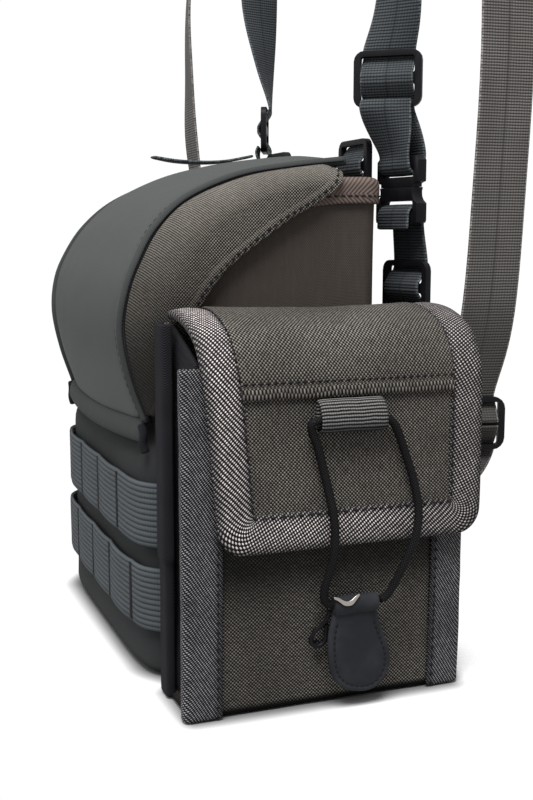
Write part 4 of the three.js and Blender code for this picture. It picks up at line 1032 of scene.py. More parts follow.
# Stitches
def stitch_tree():
    """Nodes that lay stitches along lines: each follows its line and lies flat on the cloth."""
    name = "Stitch Rows"
    if name in bpy.data.node_groups:
        return bpy.data.node_groups[name]
    tree = bpy.data.node_groups.new(name, "GeometryNodeTree")
    tree.interface.new_socket("Geometry", in_out="INPUT", socket_type="NodeSocketGeometry")
    for label in ("Pitch", "Length", "Width", "Height", "Turn", "Jitter"):
        tree.interface.new_socket(label, in_out="INPUT", socket_type="NodeSocketFloat")
    tree.interface.new_socket("Seed", in_out="INPUT", socket_type="NodeSocketInt")
    tree.interface.new_socket("Material", in_out="INPUT", socket_type="NodeSocketMaterial")
    tree.interface.new_socket("Geometry", in_out="OUTPUT", socket_type="NodeSocketGeometry")
    given = tree.nodes.new("NodeGroupInput").outputs

    def add(kind, settings=None, inputs=None):
        node = tree.nodes.new(kind)
        for name, value in (settings or {}).items():
            setattr(node, name, value)
        for name, value in (inputs or {}).items():
            if isinstance(value, bpy.types.NodeSocket):
                tree.links.new(value, node.inputs[name])
            else:
                node.inputs[name].default_value = value
        return node

    line = add("GeometryNodeMeshToCurve", inputs={0: given["Geometry"]})
    cut = add("GeometryNodeResampleCurve", {"mode": "LENGTH"},
              {"Curve": line.outputs[0], "Length": given["Pitch"]})
    bead = add("GeometryNodeMeshUVSphere", inputs={"Segments": 6, "Rings": 4, "Radius": 0.5})
    shape = add("ShaderNodeCombineXYZ",
                inputs={"X": given["Length"], "Y": given["Width"], "Z": given["Height"]})
    surface = add("GeometryNodeInputNamedAttribute", {"data_type": "FLOAT_VECTOR"}, {"Name": "surface"})
    tangent = add("GeometryNodeInputTangent")
    facing = add("FunctionNodeAxesToRotation", {"primary_axis": "Z", "secondary_axis": "X"},
                 {"Primary Axis": surface.outputs["Attribute"], "Secondary Axis": tangent.outputs[0]})
    negative = add("ShaderNodeMath", {"operation": "MULTIPLY"}, {0: given["Jitter"], 1: -1.0})
    random = add("FunctionNodeRandomValue", {"data_type": "FLOAT"}, {"Seed": given["Seed"]})
    low, high = [socket for socket in random.inputs if socket.type == "VALUE"][:2]
    tree.links.new(negative.outputs[0], low)
    tree.links.new(given["Jitter"], high)
    drawn = next(socket for socket in random.outputs if socket.type == "VALUE")
    angle = add("ShaderNodeMath", {"operation": "ADD"}, {0: given["Turn"], 1: drawn})
    spin = add("FunctionNodeAxisAngleToRotation",
               inputs={"Axis": (0.0, 0.0, 1.0), "Angle": angle.outputs[0]})
    turned = add("FunctionNodeRotateRotation", {"rotation_space": "LOCAL"},
                 {"Rotation": facing.outputs[0], "Rotate By": spin.outputs[0]})
    laid = add("GeometryNodeInstanceOnPoints",
               inputs={"Points": cut.outputs[0], "Instance": bead.outputs["Mesh"],
                       "Rotation": turned.outputs[0], "Scale": shape.outputs[0]})
    real = add("GeometryNodeRealizeInstances", inputs={0: laid.outputs[0]})
    smooth = add("GeometryNodeSetShadeSmooth", inputs={"Geometry": real.outputs[0]})
    dressed = add("GeometryNodeSetMaterial",
                  inputs={"Geometry": smooth.outputs[0], "Material": given["Material"]})
    add("NodeGroupOutput", inputs={0: dressed.outputs[0]})
    return tree


def sew(name, lines, slot, material="thread", **changes):
    """Stitches along lines of (points, surface directions), as one piece."""
    points = []
    edges = []
    surface = []
    for line, facing in lines:
        first = len(points)
        points.extend(in_frame(line).tolist())
        surface.extend(np.asarray(facing, dtype=float).tolist())
        edges.extend((first + i, first + i + 1) for i in range(len(line) - 1))
    mesh = bpy.data.meshes.new(name)
    mesh.from_pydata(points, edges, [])
    facing = mesh.attributes.new("surface", "FLOAT_VECTOR", "POINT")
    facing.data.foreach_set("vector", np.asarray(surface, dtype=np.float32).reshape(-1))
    obj = bpy.data.objects.new(name, mesh)
    bpy.context.scene.collection.objects.link(obj)
    values = dict(Pitch=sizes().stitch_pitch, Length=sizes().stitch_length, Width=sizes().stitch_width,
                  Height=sizes().stitch_width, Turn=0.0, Jitter=0.09, Seed=sizes().stitch_seed,
                  Material=finish_of(material))
    values.update(changes)
    tree = stitch_tree()
    modifier = obj.modifiers.new("Stitches", "NODES")
    modifier.node_group = tree
    for item in tree.interface.items_tree:
        if item.in_out == "INPUT" and item.name in values:
            modifier[item.identifier] = values[item.name]
    depsgraph = bpy.context.evaluated_depsgraph_get()
    made = bpy.data.meshes.new_from_object(obj.evaluated_get(depsgraph))
    obj.modifiers.clear()
    obj.data = made
    made.name = name
    return seated(obj, slot)


def on_surface(at, places, lift):
    """Line of a surface's points at (u, v) places and the directions it faces, raised a little."""
    step = 1e-3
    line = []
    facing = []
    for u, v in places:
        du = np.subtract(at(min(u + step, 1), v), at(max(u - step, 0), v))
        dv = np.subtract(at(u, min(v + step, 1)), at(u, max(v - step, 0)))
        normal = np.cross(du, dv)
        normal /= max(np.linalg.norm(normal), 1e-9)
        line.append(np.asarray(at(u, v), dtype=float) + normal * lift)
        facing.append(normal)
    return np.array(line), np.array(facing)


# Case
def front_bow(x, y, bow):
    """How far the padded front stands out at a place of the plan."""
    across = clamp01(1 - abs(x / CASE["half"]) ** CASE["bow_flat"])
    return -bow * across * clamp01(-y / CASE["deep"])


def case_plan(inset, bow):
    """Plan outline inside the outer skin, counter-clockwise from the near front corner."""
    half = CASE["half"] - inset
    deep = CASE["deep"] - inset
    front = CASE["front_radius"] - inset
    rear = CASE["rear_radius"] - inset
    corners = [(half - front, -deep + front, front, -90), (half - rear, deep - rear, rear, 0),
               (-half + rear, deep - rear, rear, 90), (-half + front, -deep + front, front, 180)]
    arcs = []
    for cx, cy, radius, start in corners:
        turns = [math.radians(start + 90 * i / CORNER_STEPS) for i in range(CORNER_STEPS + 1)]
        arcs.append([(cx + radius * math.cos(turn), cy + radius * math.sin(turn)) for turn in turns])
    points = []
    for arc, following, steps in zip(arcs, arcs[1:] + arcs[:1], SIDE_STEPS):
        last, stop = arc[-1], following[0]
        points.extend(arc)
        points.extend((mix(last[0], stop[0], t), mix(last[1], stop[1], t))
                      for t in (i / steps for i in range(1, steps)))
    return [(x, y + front_bow(x, y, bow)) for x, y in points]


def rim_height(y):
    """Height of the case's rim, which falls towards the front."""
    forward = clamp01((CASE["rim_flat_from"] - y) / (CASE["rim_flat_from"] + CASE["deep"]))
    return CASE["rim_rear"] - (CASE["rim_rear"] - CASE["rim_front"]) * forward ** CASE["rim_curve"]


def case_shell():
    """Padded case: rounded base, soft outer skin, rim, lining and floor."""
    base = CASE["base_round"]
    rings = []
    base_turns = (0, 22, 45, 67, 90)
    for turn in map(math.radians, base_turns):
        plan = case_plan(base * (1 - math.sin(turn)), CASE["bow"])
        rings.append([(x, y, base * (1 - math.cos(turn))) for x, y in plan])
    skin = case_plan(0, CASE["bow"])
    upper = case_plan(0, CASE["bow_under_lid"])
    for z in (*range(12, 77, 8), CASE["bow_ends"]):
        rings.append([(x, y, z) for x, y in skin])
    for t in (0.35, 0.7, 1.0):
        z = mix(CASE["bow_ends"], CASE["lid_starts"], t)
        rings.append([(mix(a[0], b[0], t), mix(a[1], b[1], t), z) for a, b in zip(skin, upper)])
    rims = [rim_height(y) for _, y in upper]
    for t in np.linspace(0, 1, 9)[1:]:
        rings.append([(x, y, mix(CASE["lid_starts"], r, t)) for (x, y), r in zip(upper, rims)])
    outer = len(rings)
    lining = case_plan(CASE["wall"], CASE["bow_under_lid"])
    for t in (1.0, 0.6, 0.25, 0.0):
        rings.append([(x, y, mix(CASE["floor"], r, t)) for (x, y), r in zip(lining, rims)])
    rings = np.array(rings)
    deepest = sum(deep for deep, _, _ in DENTS["case"])
    for k in range(len(base_turns), outer - 1):
        for i, point in enumerate(rings[k]):
            inward = -point[:2]
            rings[k, i, :2] += inward / np.linalg.norm(inward) * (deepest + dents("case", point))
    return ring_skin(rings)


def rim_wall():
    """Surface of the tape folded over the rim: along the rim, and over it from skin to lining."""
    bow = CASE["bow_under_lid"]
    edge = case_plan(0, bow)
    skin = case_plan(-GAP, bow)
    lining = case_plan(CASE["wall"] + GAP, bow)
    count = len(edge)
    sections = []
    for i in range(count):
        top = rim_height(edge[i][1])
        foot = top - RIM_TAPE["leg"]
        seat = top + GAP
        corners = [(*skin[i], foot), (*skin[i], seat), (*lining[i], seat), (*lining[i], foot)]
        sections.append(rounded_line(corners, RIM_TAPE["fold"], RIM_TAPE["steps"]))

    def at(u, v):
        place = u * count
        i = int(place)
        return mix(line_at(sections[i % count], v), line_at(sections[(i + 1) % count], v), place - i)

    return at, count


def web_row_route(low):
    """Route of a webbing row round the case's front, far side to near side, in equal steps."""
    plan = case_plan(-GAP, CASE["bow"])
    corner = CORNER_STEPS + 1
    front_and_far_corner = plan[1 - SIDE_STEPS[-1] - corner:]
    near_corner = plan[:corner]
    side, corner_end = near_corner[-1]
    reach = corner_end + WEB_ROW["side_reach"]
    route = [(-side, reach), *front_and_far_corner, *near_corner, (side, reach)]
    return even_line([(x, y, low) for x, y in route], WEB_ROW["steps"])


def web_row_wall(row):
    """Surface of a webbing row, standing out between its bartacks."""
    route = web_row_route(row["low"])
    across = run_along(route)
    tacks = [tack_place(route, across, x) for x in row["tacks"]]

    def at(u, v):
        run = u * across[-1]
        return (np.interp(run, across, route[:, 0]), np.interp(run, across, route[:, 1]),
                row["low"] + v * WEB_ROW["height"])

    def loop(u, v, point):
        run = u * across[-1]
        stops = [0.0, *tacks, across[-1]]
        k = max(i for i, stop in enumerate(stops[:-1]) if stop <= run + 1e-6)
        share = (run - stops[k]) / max(stops[k + 1] - stops[k], 1e-6)
        bow = math.sin(math.pi * clamp01(share)) ** WEB_ROW["loop_flat"]
        return WEB_ROW["loop"] * bow + dents("row", point)

    return at, loop, [t / across[-1] for t in tacks]


def tack_place(route, across, x):
    """Distance along a route where it passes a place across the front."""
    front = route[:, 1] < -CASE["deep"] + CASE["front_radius"] - WEB_ROW["tack_clear"]
    return float(np.interp(x, route[front, 0], across[front]))


# Lid
LID_SEAM = smooth_table(LID_PROFILE)
WING_LINE = smooth_table(WING_EDGE)


def lid_outward(t):
    """Outward direction of the lid's profile, in Y and Z."""
    step = 1e-3
    dy = LID_SEAM(t + step, "y") - LID_SEAM(t - step, "y")
    dz = LID_SEAM(t + step, "z") - LID_SEAM(t - step, "z")
    length = math.hypot(dy, dz)
    return dz / length, -dy / length


def lid_point(t, x, rise):
    """A point over the lid's profile."""
    out_y, out_z = lid_outward(t)
    return (x, LID_SEAM(t, "y") + out_y * rise, LID_SEAM(t, "z") + out_z * rise)


def lid_at(u, v):
    """Inner face of the lid's panel: along its profile and across."""
    half = LID_SEAM(u, "half")
    x = mix(-half, half, v)
    crown = mix(LID["top_crown"], LID["front_crown"], clamp01(u * LID["crown_fade"]))
    return lid_point(u, x, crown * (1 - (x / half) ** 2) - LID["thick"])


def lid_relief(u, v, point):
    """Soft dents of the lid's panel, and the sewn groove inside its welts."""
    inset = min(v, 1 - v) * 2 * LID_SEAM(u, "half")
    groove = math.exp(-((inset - LID["groove"]) / LID["groove_wide"]) ** 2)
    return dents("lid", point) - LID["groove_deep"] * groove


def wing_at(side):
    """Surface of a wing: along its seam, and from the seam round the case's corner to its free edge."""

    def at(u, v):
        t = mix(WING["start"], WING["stop"], u if side > 0 else 1 - u)
        seam = lid_point(t, 0, -WING["seam_inset"] - LID["pipe"] * LID["pipe_sunk"])
        edge = (WING_LINE(t, "y"), WING_LINE(t, "z"))
        reach = v * math.hypot(edge[0] - seam[1], edge[1] - seam[2])
        left = 1 - clamp01(reach / WING["turn"])
        turned = mix(LID_SEAM(t, "half") + WING["seam_out"], WING["inner"], math.sqrt(1 - left * left))
        x = turned + WING["bulge"] * math.sin(math.pi * v) * math.sin(math.pi * t)
        return (side * x, mix(seam[1], edge[0], v), mix(seam[2], edge[1], v))

    return at


def wing_hem_share(at, u):
    """Where a wing's hem starts across it."""
    span = np.linalg.norm(np.subtract(at(u, 1), at(u, 0)))
    return 1 - min(WING["hem"] / max(span, 1e-6), WING["hem_most"])


LID_FOOT = LID_PROFILE[-1]["y"]
HEM_HALF = LID_PROFILE[-1]["half"] + LID["pipe_out"]


def hem_rings():
    """Rolled band along the lid's bowed foot, with a soft wander."""
    out_y, out_z = lid_outward(1)
    rings = []
    for x in np.linspace(-HEM_HALF, HEM_HALF, HEM["steps"] + 1):
        crown = LID["front_crown"] * (1 - (x / HEM_HALF) ** 2)
        end = ease((HEM_HALF - abs(x)) / HEM["end_run"])
        full = mix(HEM["end_share"], 1.0, end) * (1 + dents("hem", (x, 0, 0)))
        y = LID_FOOT + out_y * crown
        rings.append([(x, y - out * full, z + out_z * crown) for out, z in HEM_SECTION])
    return rings


def hem_knot(side):
    """Gathered end of the rolled band."""
    line = smooth_line([(side * (HEM_HALF + x), LID_FOOT - out, z) for x, out, z in HEM_KNOT], 16)
    return tube(line, HEM["knot"], 12)


# Pouch
def pouch_bulge(z):
    return POUCH["bulge"] * math.sin(math.pi * clamp01(z / POUCH["rim_front"]))


def pouch_rim(x):
    share = clamp01((x - POUCH["back"]) / (POUCH["front"] - POUCH["back"]))
    return mix(POUCH["rim_back"], POUCH["rim_front"], share)


def pouch_front(y, z):
    """Outer face of the pouch's front panel."""
    middle = (POUCH["left"] + POUCH["right"]) / 2
    half = (POUCH["right"] - POUCH["left"]) / 2
    across = 1 - (abs(y - middle) / half) ** POUCH["flat"]
    return POUCH["front"] + pouch_bulge(z) * mix(POUCH["edge_bulge"], 1.0, across)


def pouch_shells():
    """Pouch body: front, back and bottom as one shell, and the two pleated gussets."""
    left, right, back, wall = POUCH["left"], POUCH["right"], POUCH["back"], POUCH["wall"]
    seam = POUCH["front"] - POUCH["flange_thick"]
    inset = POUCH_BOTTOM["inset"]

    def front_at(u, v):
        y = mix(left, right, u)
        z = v * POUCH["rim_front"]
        return (pouch_front(y, z), y, z)

    def gusset_at(side):
        y = left + POUCH["flange"] if side < 0 else right - POUCH["flange"]

        def at(u, v):
            x = mix(back + POUCH["tuck"], seam + POUCH["tuck"], u if side < 0 else 1 - u)
            return (x, y, v * pouch_rim(x))

        return at

    def pleats(u, v, point):
        low = ease(1 - point[2] / PLEATS["tall"])
        fold = math.sin((point[0] - back) / PLEATS["pitch"])
        return PLEATS["deep"] * low * fold + dents("gusset", point) - PLEATS["sunk"]

    def back_at(u, v):
        return (back, mix(right, left, u), v * POUCH["rim_back"])

    def bottom_at(u, v):
        x = mix(back + inset, POUCH["front"] - POUCH_BOTTOM["front_inset"], v)
        return (x, mix(left + inset, right - inset, u), POUCH_BOTTOM["z"])

    bag = joined(
        cloth_wall(front_at, GRIDS["pouch_front"], wall, -wall, dented("pouch_front")),
        cloth_wall(back_at, GRIDS["pouch_back"], wall, -wall),
        cloth_wall(bottom_at, GRIDS["pouch_bottom"], wall, -wall),
    )
    gussets = [cloth_wall(gusset_at(side), GRIDS["gusset"], wall, -wall, pleats) for side in (-1, 1)]
    return bag, joined(*gussets)


def edge_tape_at(section, low, high, swell):
    """Surface of a tape folded round a panel's upright edge: up it, and round its section."""
    line = rounded_line(section, EDGE_TAPE["round"], EDGE_TAPE["steps"])

    def at(u, v):
        z = mix(low, high, u)
        x, y = line_at(line, v)
        return (x + swell(y, z), y, z)

    return at


def folded_tape(u, v, point):
    """Rear edge tape, thinner below the fold near its foot."""
    over = ease((point[2] - EDGE_TAPE["fold_z"]) / EDGE_TAPE["fold_run"])
    return dents("edge_tape", point) - EDGE_TAPE["fold"] * (1 - over)


def pouch_tape_sections():
    """Sections of the four upright tapes, in x and y."""
    reach, hold = EDGE_TAPE["reach"], POUCH["flange"] - EDGE_TAPE["clear"]
    left, right = POUCH["left"], POUCH["right"]
    face = POUCH["front"] + GAP
    behind = POUCH["front"] - POUCH["flange_thick"] - GAP
    rear = POUCH["back"] - GAP
    ahead = POUCH["back"] + POUCH["back_flange"] + GAP
    return dict(
        front_left=[(face, left + reach), (face, left - GAP), (behind, left - GAP), (behind, left + hold)],
        front_right=[(behind, right - hold), (behind, right + GAP), (face, right + GAP),
                     (face, right - reach)],
        back_left=[(ahead, left + hold), (ahead, left - GAP), (rear, left - GAP), (rear, left + reach)],
        back_right=[(rear, right - reach), (rear, right + GAP), (ahead, right + GAP), (ahead, right - hold)],
    )


# Flap
FLAP_TABLE = smooth_table(FLAP_ROWS)
FLAP_PLACES = np.linspace(0, 1, 161)
FLAP_LINE = np.array([(FLAP_TABLE(t, "x"), FLAP_TABLE(t, "z")) for t in FLAP_PLACES])
FLAP_RUN = run_along(FLAP_LINE)
FLAP_LENGTH = FLAP_RUN[-1]


def flap_point(distance, y):
    """Inner face of the flap at a distance down it."""
    t = np.interp(distance, FLAP_RUN, FLAP_PLACES)
    return (FLAP_TABLE(t, "x"), y, FLAP_TABLE(t, "z"))


def flap_edge(distance, name):
    return FLAP_TABLE(np.interp(distance, FLAP_RUN, FLAP_PLACES), name)


def flap_distance_at(z):
    """Distance down the flap where its front is at a height."""
    return FLAP_RUN[np.where(FLAP_LINE[:, 1] >= z)[0][-1]]


def flap_panel_at(start, stop):
    """Surface of a flap panel between two distances, inside the tape."""
    inset = FLAP["tape"] - FLAP["tuck"]

    def at(u, v):
        distance = mix(start, stop, u)
        left = flap_edge(distance, "left") + inset
        right = flap_edge(distance, "right") - inset
        return flap_point(distance, mix(left, right, v))

    return at


def flap_tape_route():
    """Rows of (distance, y) for the tape's outer and inner edge, round the flap."""
    corner, tape, inner = FLAP["corner"], FLAP["tape"], FLAP["inner_corner"]
    outer_stop = FLAP_LENGTH - corner
    inner_stop = FLAP_LENGTH - tape - inner

    def down(name, way):
        rows = []
        for t in np.linspace(0, 1, 43):
            out = mix(FLAP["start"], outer_stop, t)
            inn = mix(FLAP["start"], inner_stop, t)
            rows.append((out, flap_edge(out, name), inn, flap_edge(inn, name) + way * tape))
        edge = flap_edge(outer_stop, name)
        for t in np.linspace(0, 1, 11)[1:]:
            sink = math.sin(t * math.pi / 2)
            turn = 1 - math.cos(t * math.pi / 2)
            rows.append((outer_stop + corner * sink, edge + way * corner * turn,
                         inner_stop + inner * sink, edge + way * (tape + inner * turn)))
        return rows

    left = down("left", 1)
    right = down("right", -1)[::-1]
    a, b = left[-1], right[0]
    bottom = [(a[0], mix(a[1], b[1], t), a[2], mix(a[3], b[3], t)) for t in np.linspace(0, 1, 31)[1:-1]]
    return np.array([*left, *bottom, *right])


def flap_tape_at():
    """Surface of the tape round the flap: along it, and from its outer to its inner edge."""
    route = flap_tape_route()

    def at(u, v):
        row = line_at(route, u)
        return flap_point(mix(row[0], row[2], v), mix(row[1], row[3], v))

    return at, len(route) - 1


def tape_round(u, v, point):
    """Full, rounded face of the flap's tape."""
    return FLAP["tape_crown"] * (1 - (2 * v - 1) ** 2) - FLAP["tape_sunk"] + dents("flap_tape", point)


# Pull tab
def pull_tab_edge(inset):
    """Pull tab's outline, moved in by a distance, in even steps."""
    line = smooth_line(PULL_OUTLINE, 72)
    along = np.gradient(line, axis=0)
    along /= np.linalg.norm(along, axis=1, keepdims=True)
    inward = np.stack([-along[:, 1], along[:, 0]], axis=1)
    return line + inward * inset


def pull_tab_shell():
    """Tab with rounded rims and a stitched groove, and the fold it hangs from."""
    rings = []
    half = PULL["thick"] / 2
    groove = PULL["stitch_inset"]
    # Section from the middle of its rear round the rim to the middle of its front.
    for inset, rise in ((groove + 6.0, -half), (groove, -half), (0.7, -half), (0.0, -half * 0.3),
                        (0.0, half * 0.3), (0.7, half), (groove - 0.7, half), (groove, half - 0.45),
                        (groove + 0.8, half), (groove + 3.0, half + 0.25), (groove + 6.0, half + 0.3)):
        edge = pull_tab_edge(inset)
        rings.append([(PULL["x"] + rise, y, z) for y, z in edge])
    blade = ring_skin(rings)
    left, right = PULL_OUTLINE[0][0], PULL_OUTLINE[-1][0]
    roll = []
    # Fold from its left to its right end, and how full it is there.
    for y, size in ((left - 0.5, 0.72), (left - 0.2, 0.94), (left + 0.6, 1.0), (mix(left, right, 0.3), 1.03),
                    (mix(left, right, 0.6), 0.98), (right - 0.6, 1.0), (right + 0.2, 0.94),
                    (right + 0.5, 0.72)):
        ring = []
        for k in range(20):
            angle = 2 * math.pi * k / 20
            ring.append((PULL["roll_x"] + PULL["roll_deep"] * size * math.cos(angle), y,
                         PULL["roll_z"] + PULL["roll_tall"] * size * math.sin(angle)))
        roll.append(ring[::-1])
    return joined(blade, ring_skin(roll))


def pull_tab_stitch_line():
    """Stitches in the tab's groove: all round it and across under the fold."""
    edge = pull_tab_edge(PULL["stitch_inset"])[5:-5]
    top = [(mix(edge[-1][0], edge[0][0], t), mix(edge[-1][1], edge[0][1], t) + 0.6 * math.sin(math.pi * t))
           for t in np.linspace(0, 1, 14)[1:]]
    line = [(PULL["x"] + PULL["thick"] / 2 - 0.25, y, z) for y, z in [*edge, *top]]
    return line, [(1.0, 0.0, 0.0)] * len(line)


def clip_shell():
    """Bent metal clip over the fold: raised ears and a curved middle."""
    table = smooth_table([dict(top=top, low=low, lift=lift) for top, low, lift in CLIP_ROWS])

    def at(u, v):
        rise = mix(table(u, "low"), table(u, "top"), v)
        lift = table(u, "lift") * (1 - CLIP["lean"] * v)
        return (CLIP["x"] - CLIP["sunk"] + lift, CLIP["y"] + (u - 0.5) * CLIP["width"], CLIP["z"] + rise)

    return cloth_wall(at, GRIDS["clip"], CLIP["thick"])


def hook_shell():
    """Teardrop hook hung from the fold, with its foot on the pouch."""
    loop = smooth_line(HOOK_ROUTE, 60)
    foot = [(x, HOOK["foot_y"], HOOK["foot_z"]) for x in (HOOK["foot_back"], HOOK["foot_front"])]
    return joined(tube(loop, HOOK["tube"], 10), tube(even_line(foot, 4), HOOK["tube"], 10))


# Straps
def rows_of(table):
    return [dict(zip(COLUMNS, row), depth=0.0) for row in table]


def on_hardware(entry, hardware, over, way=1):
    """A row of a webbing table on a piece of hardware."""
    rise, side, slack = entry
    row = dict(zip(COLUMNS, hardware))
    row["z"] += way * rise
    row["depth"] = side * (over + slack)
    return row


OVER_GLIDE = GLIDE_THICK / 2 + GAP + WEB["thick"] / 2
OVER_LOCK = LOCK_THICK / 2 + GAP + LOWER_WEB["thick"] / 2


def weave(hardware):
    return [dict(on_hardware(entry, hardware, OVER_GLIDE), width=WEB["in_slot"]) for entry in WEAVE]


def into_lock(lock, way):
    return [on_hardware(entry, lock, OVER_LOCK, way) for entry in LOCK_WEAVE]


def turn_round(buckle, bar_height, over):
    """Rows of webbing turned round a buckle's bar."""
    reach = BUCKLE["bar"] + GAP + WEB["thick"] / 2 + TURN["slack"]
    way = 1 if over else -1
    bar = dict(zip(COLUMNS, buckle))
    bar["z"] += bar_height
    rows = [dict(bar, z=bar["z"] - way * TURN["leg"], depth=reach + GAP)]
    for i in range(TURN["steps"] + 1):
        angle = math.pi * i / TURN["steps"]
        rows.append(dict(bar, z=bar["z"] + way * reach * math.sin(angle), depth=reach * math.cos(angle)))
    rows.append(dict(bar, z=bar["z"] - way * TURN["leg"], depth=-reach - GAP))
    return rows


def band(rows, web):
    """A webbing band through rows of x, y, z, yaw and depth, its width level."""
    table = smooth_table([dict(dict(width=web["width"]), **row) for row in rows])
    thick = web["thick"]

    def at(u, v):
        yaw = math.radians(table(u, "yaw"))
        side = (v - 0.5) * table(u, "width")
        depth = table(u, "depth")
        return (table(u, "x") + math.cos(yaw) * side - math.sin(yaw) * depth,
                table(u, "y") + math.sin(yaw) * side + math.cos(yaw) * depth,
                table(u, "z"))

    def relief(u, v, point):
        return BAND["cup"] * ((2 * v - 1) ** 2 - 0.5) * 0.5 + dents("strap", point)

    steps = ((len(rows) - 1) * BAND["per_row"], BAND["across"])
    return cloth_wall(at, steps, thick, -thick / 2, relief)


def moulded_copy(node, rounding):
    """A solid of the frame with its edges rounded as moulding leaves them."""
    shape = bmesh.new()
    shape.from_mesh(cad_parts[node].data)
    bmesh.ops.remove_doubles(shape, verts=shape.verts, dist=1e-6)
    flat, rounded, sharp = (math.radians(MOULD[name]) for name in ("flat", "rounded", "sharp"))
    bmesh.ops.dissolve_limit(shape, angle_limit=flat, verts=shape.verts, edges=shape.edges)
    edges = [e for e in shape.edges if len(e.link_faces) == 2 and e.calc_face_angle() > rounded]
    bmesh.ops.bevel(shape, geom=edges, offset=rounding * MM, offset_type="OFFSET", segments=3, profile=0.5,
                    affect="EDGES", clamp_overlap=True)
    bmesh.ops.triangulate(shape, faces=[f for f in shape.faces if len(f.verts) > 4])
    mesh = bpy.data.meshes.new(node)
    shape.to_mesh(mesh)
    shape.free()
    mesh.polygons.foreach_set("use_smooth", [True] * len(mesh.polygons))
    mesh.set_sharp_from_angle(angle=sharp)
    mesh.materials.append(finish_of("plastic"))
    obj = bpy.data.objects.new(f"moulded_{node}", mesh)
    bpy.context.scene.collection.objects.link(obj)
    return obj


# Operators
class HARNESS_OT_camera(bpy.types.Operator):
    """Places the camera at the photograph's viewing angle"""

    bl_idname = "harness.camera"
    bl_label = "Camera"

    def execute(self, context):
        studio = context.scene.harness_studio
        data = bpy.data.cameras.new("camera")
        data.lens = studio.lens
        data.sensor_width = 36.0
        data.clip_start = 0.01
        camera = bpy.data.objects.new("camera", data)
        flat = math.cos(studio.pitch)
        ahead = Vector((-math.sin(studio.azimuth) * flat, math.cos(studio.azimuth) * flat,
                        -math.sin(studio.pitch)))
        camera.location = studio.camera
        camera.rotation_euler = ahead.to_track_quat("-Z", "Y").to_euler()
        context.scene.collection.objects.link(camera)
        context.scene.camera = camera
        return {"FINISHED"}


class HARNESS_OT_elastic_cord(bpy.types.Operator):
    """Makes the elastic cord with its pull tab, clip and hook"""

    bl_idname = "harness.elastic_cord"
    bl_label = "Elastic Cord"

    def execute(self, context):
        path = smooth_line(CORD_ROUTE, 220)
        cord = add_piece("elastic_cord", tube(path, CORD_RADIUS, 14), finish_of("cord"), "elastic_cord",
                         "bungee_cord", subdivide=0)
        tab = add_piece("pull_tab_leather", pull_tab_shell(), finish_of("pull_tab"), "pull_tab", "pull_tab")
        clip = add_piece("pull_clip", clip_shell(), finish_of("metal"), "clip_metal", "pull_tab_clip")
        add_piece("hook_ring", hook_shell(), finish_of("plastic"), "black_plastic", "pouch_hook")
        sew("pull_tab_stitches", [pull_tab_stitch_line()], "pull_tab", **STITCHES["pull_tab"])
        points = in_frame(path)
        length = float(run_along(points)[-1])
        return {"FINISHED"}


class HARNESS_OT_case(bpy.types.Operator):
    """Makes the padded case, its rim tape and the rim's stitches"""

    bl_idname = "harness.case"
    bl_label = "Case"

    def execute(self, context):
        shell = add_piece("case_body", case_shell(), finish_of("case"), "case_cloth", "case_shell")
        at, count = rim_wall()
        tape = cloth_wall(at, (count, RIM_TAPE["steps"]), RIM_TAPE["thick"], wrap=True)
        add_piece("rim_tape", tape, finish_of("rim"), "rim_tape", "case_rim_binding")
        row = [(i / (4 * count), RIM_TAPE["stitched_at"]) for i in range(4 * count)]
        line = on_surface(at, row, RIM_TAPE["thick"] + STITCH_LIFT["tape"])
        sew("rim_stitches", [line], "rim_tape", **STITCHES["rim"])
        return {"FINISHED"}


class HARNESS_OT_webbing_rows(bpy.types.Operator):
    """Makes the webbing rows round the case's front with their bartacks"""

    bl_idname = "harness.webbing_rows"
    bl_label = "Webbing Rows"

    def execute(self, context):
        tacks = []
        for row in WEB_ROWS:
            at, loop, places = web_row_wall(row)
            wall = cloth_wall(at, GRIDS["row"], WEB_ROW["thick"], 0.0, loop)
            add_piece(row["node"].replace("molle", "web"), wall, finish_of("row"), "webbing", row["node"])
            heights = np.linspace(WEB_ROW["tack_inset"], 1 - WEB_ROW["tack_inset"], 12)
            for place in places:
                for beside in WEB_ROW["tack_lines"]:
                    line = [(place + beside, v) for v in heights]
                    tacks.append(on_surface(at, line, WEB_ROW["thick"] + STITCH_LIFT["cloth"]))
        sew("row_bartacks", tacks, "webbing", **STITCHES["bartack"])
        return {"FINISHED"}


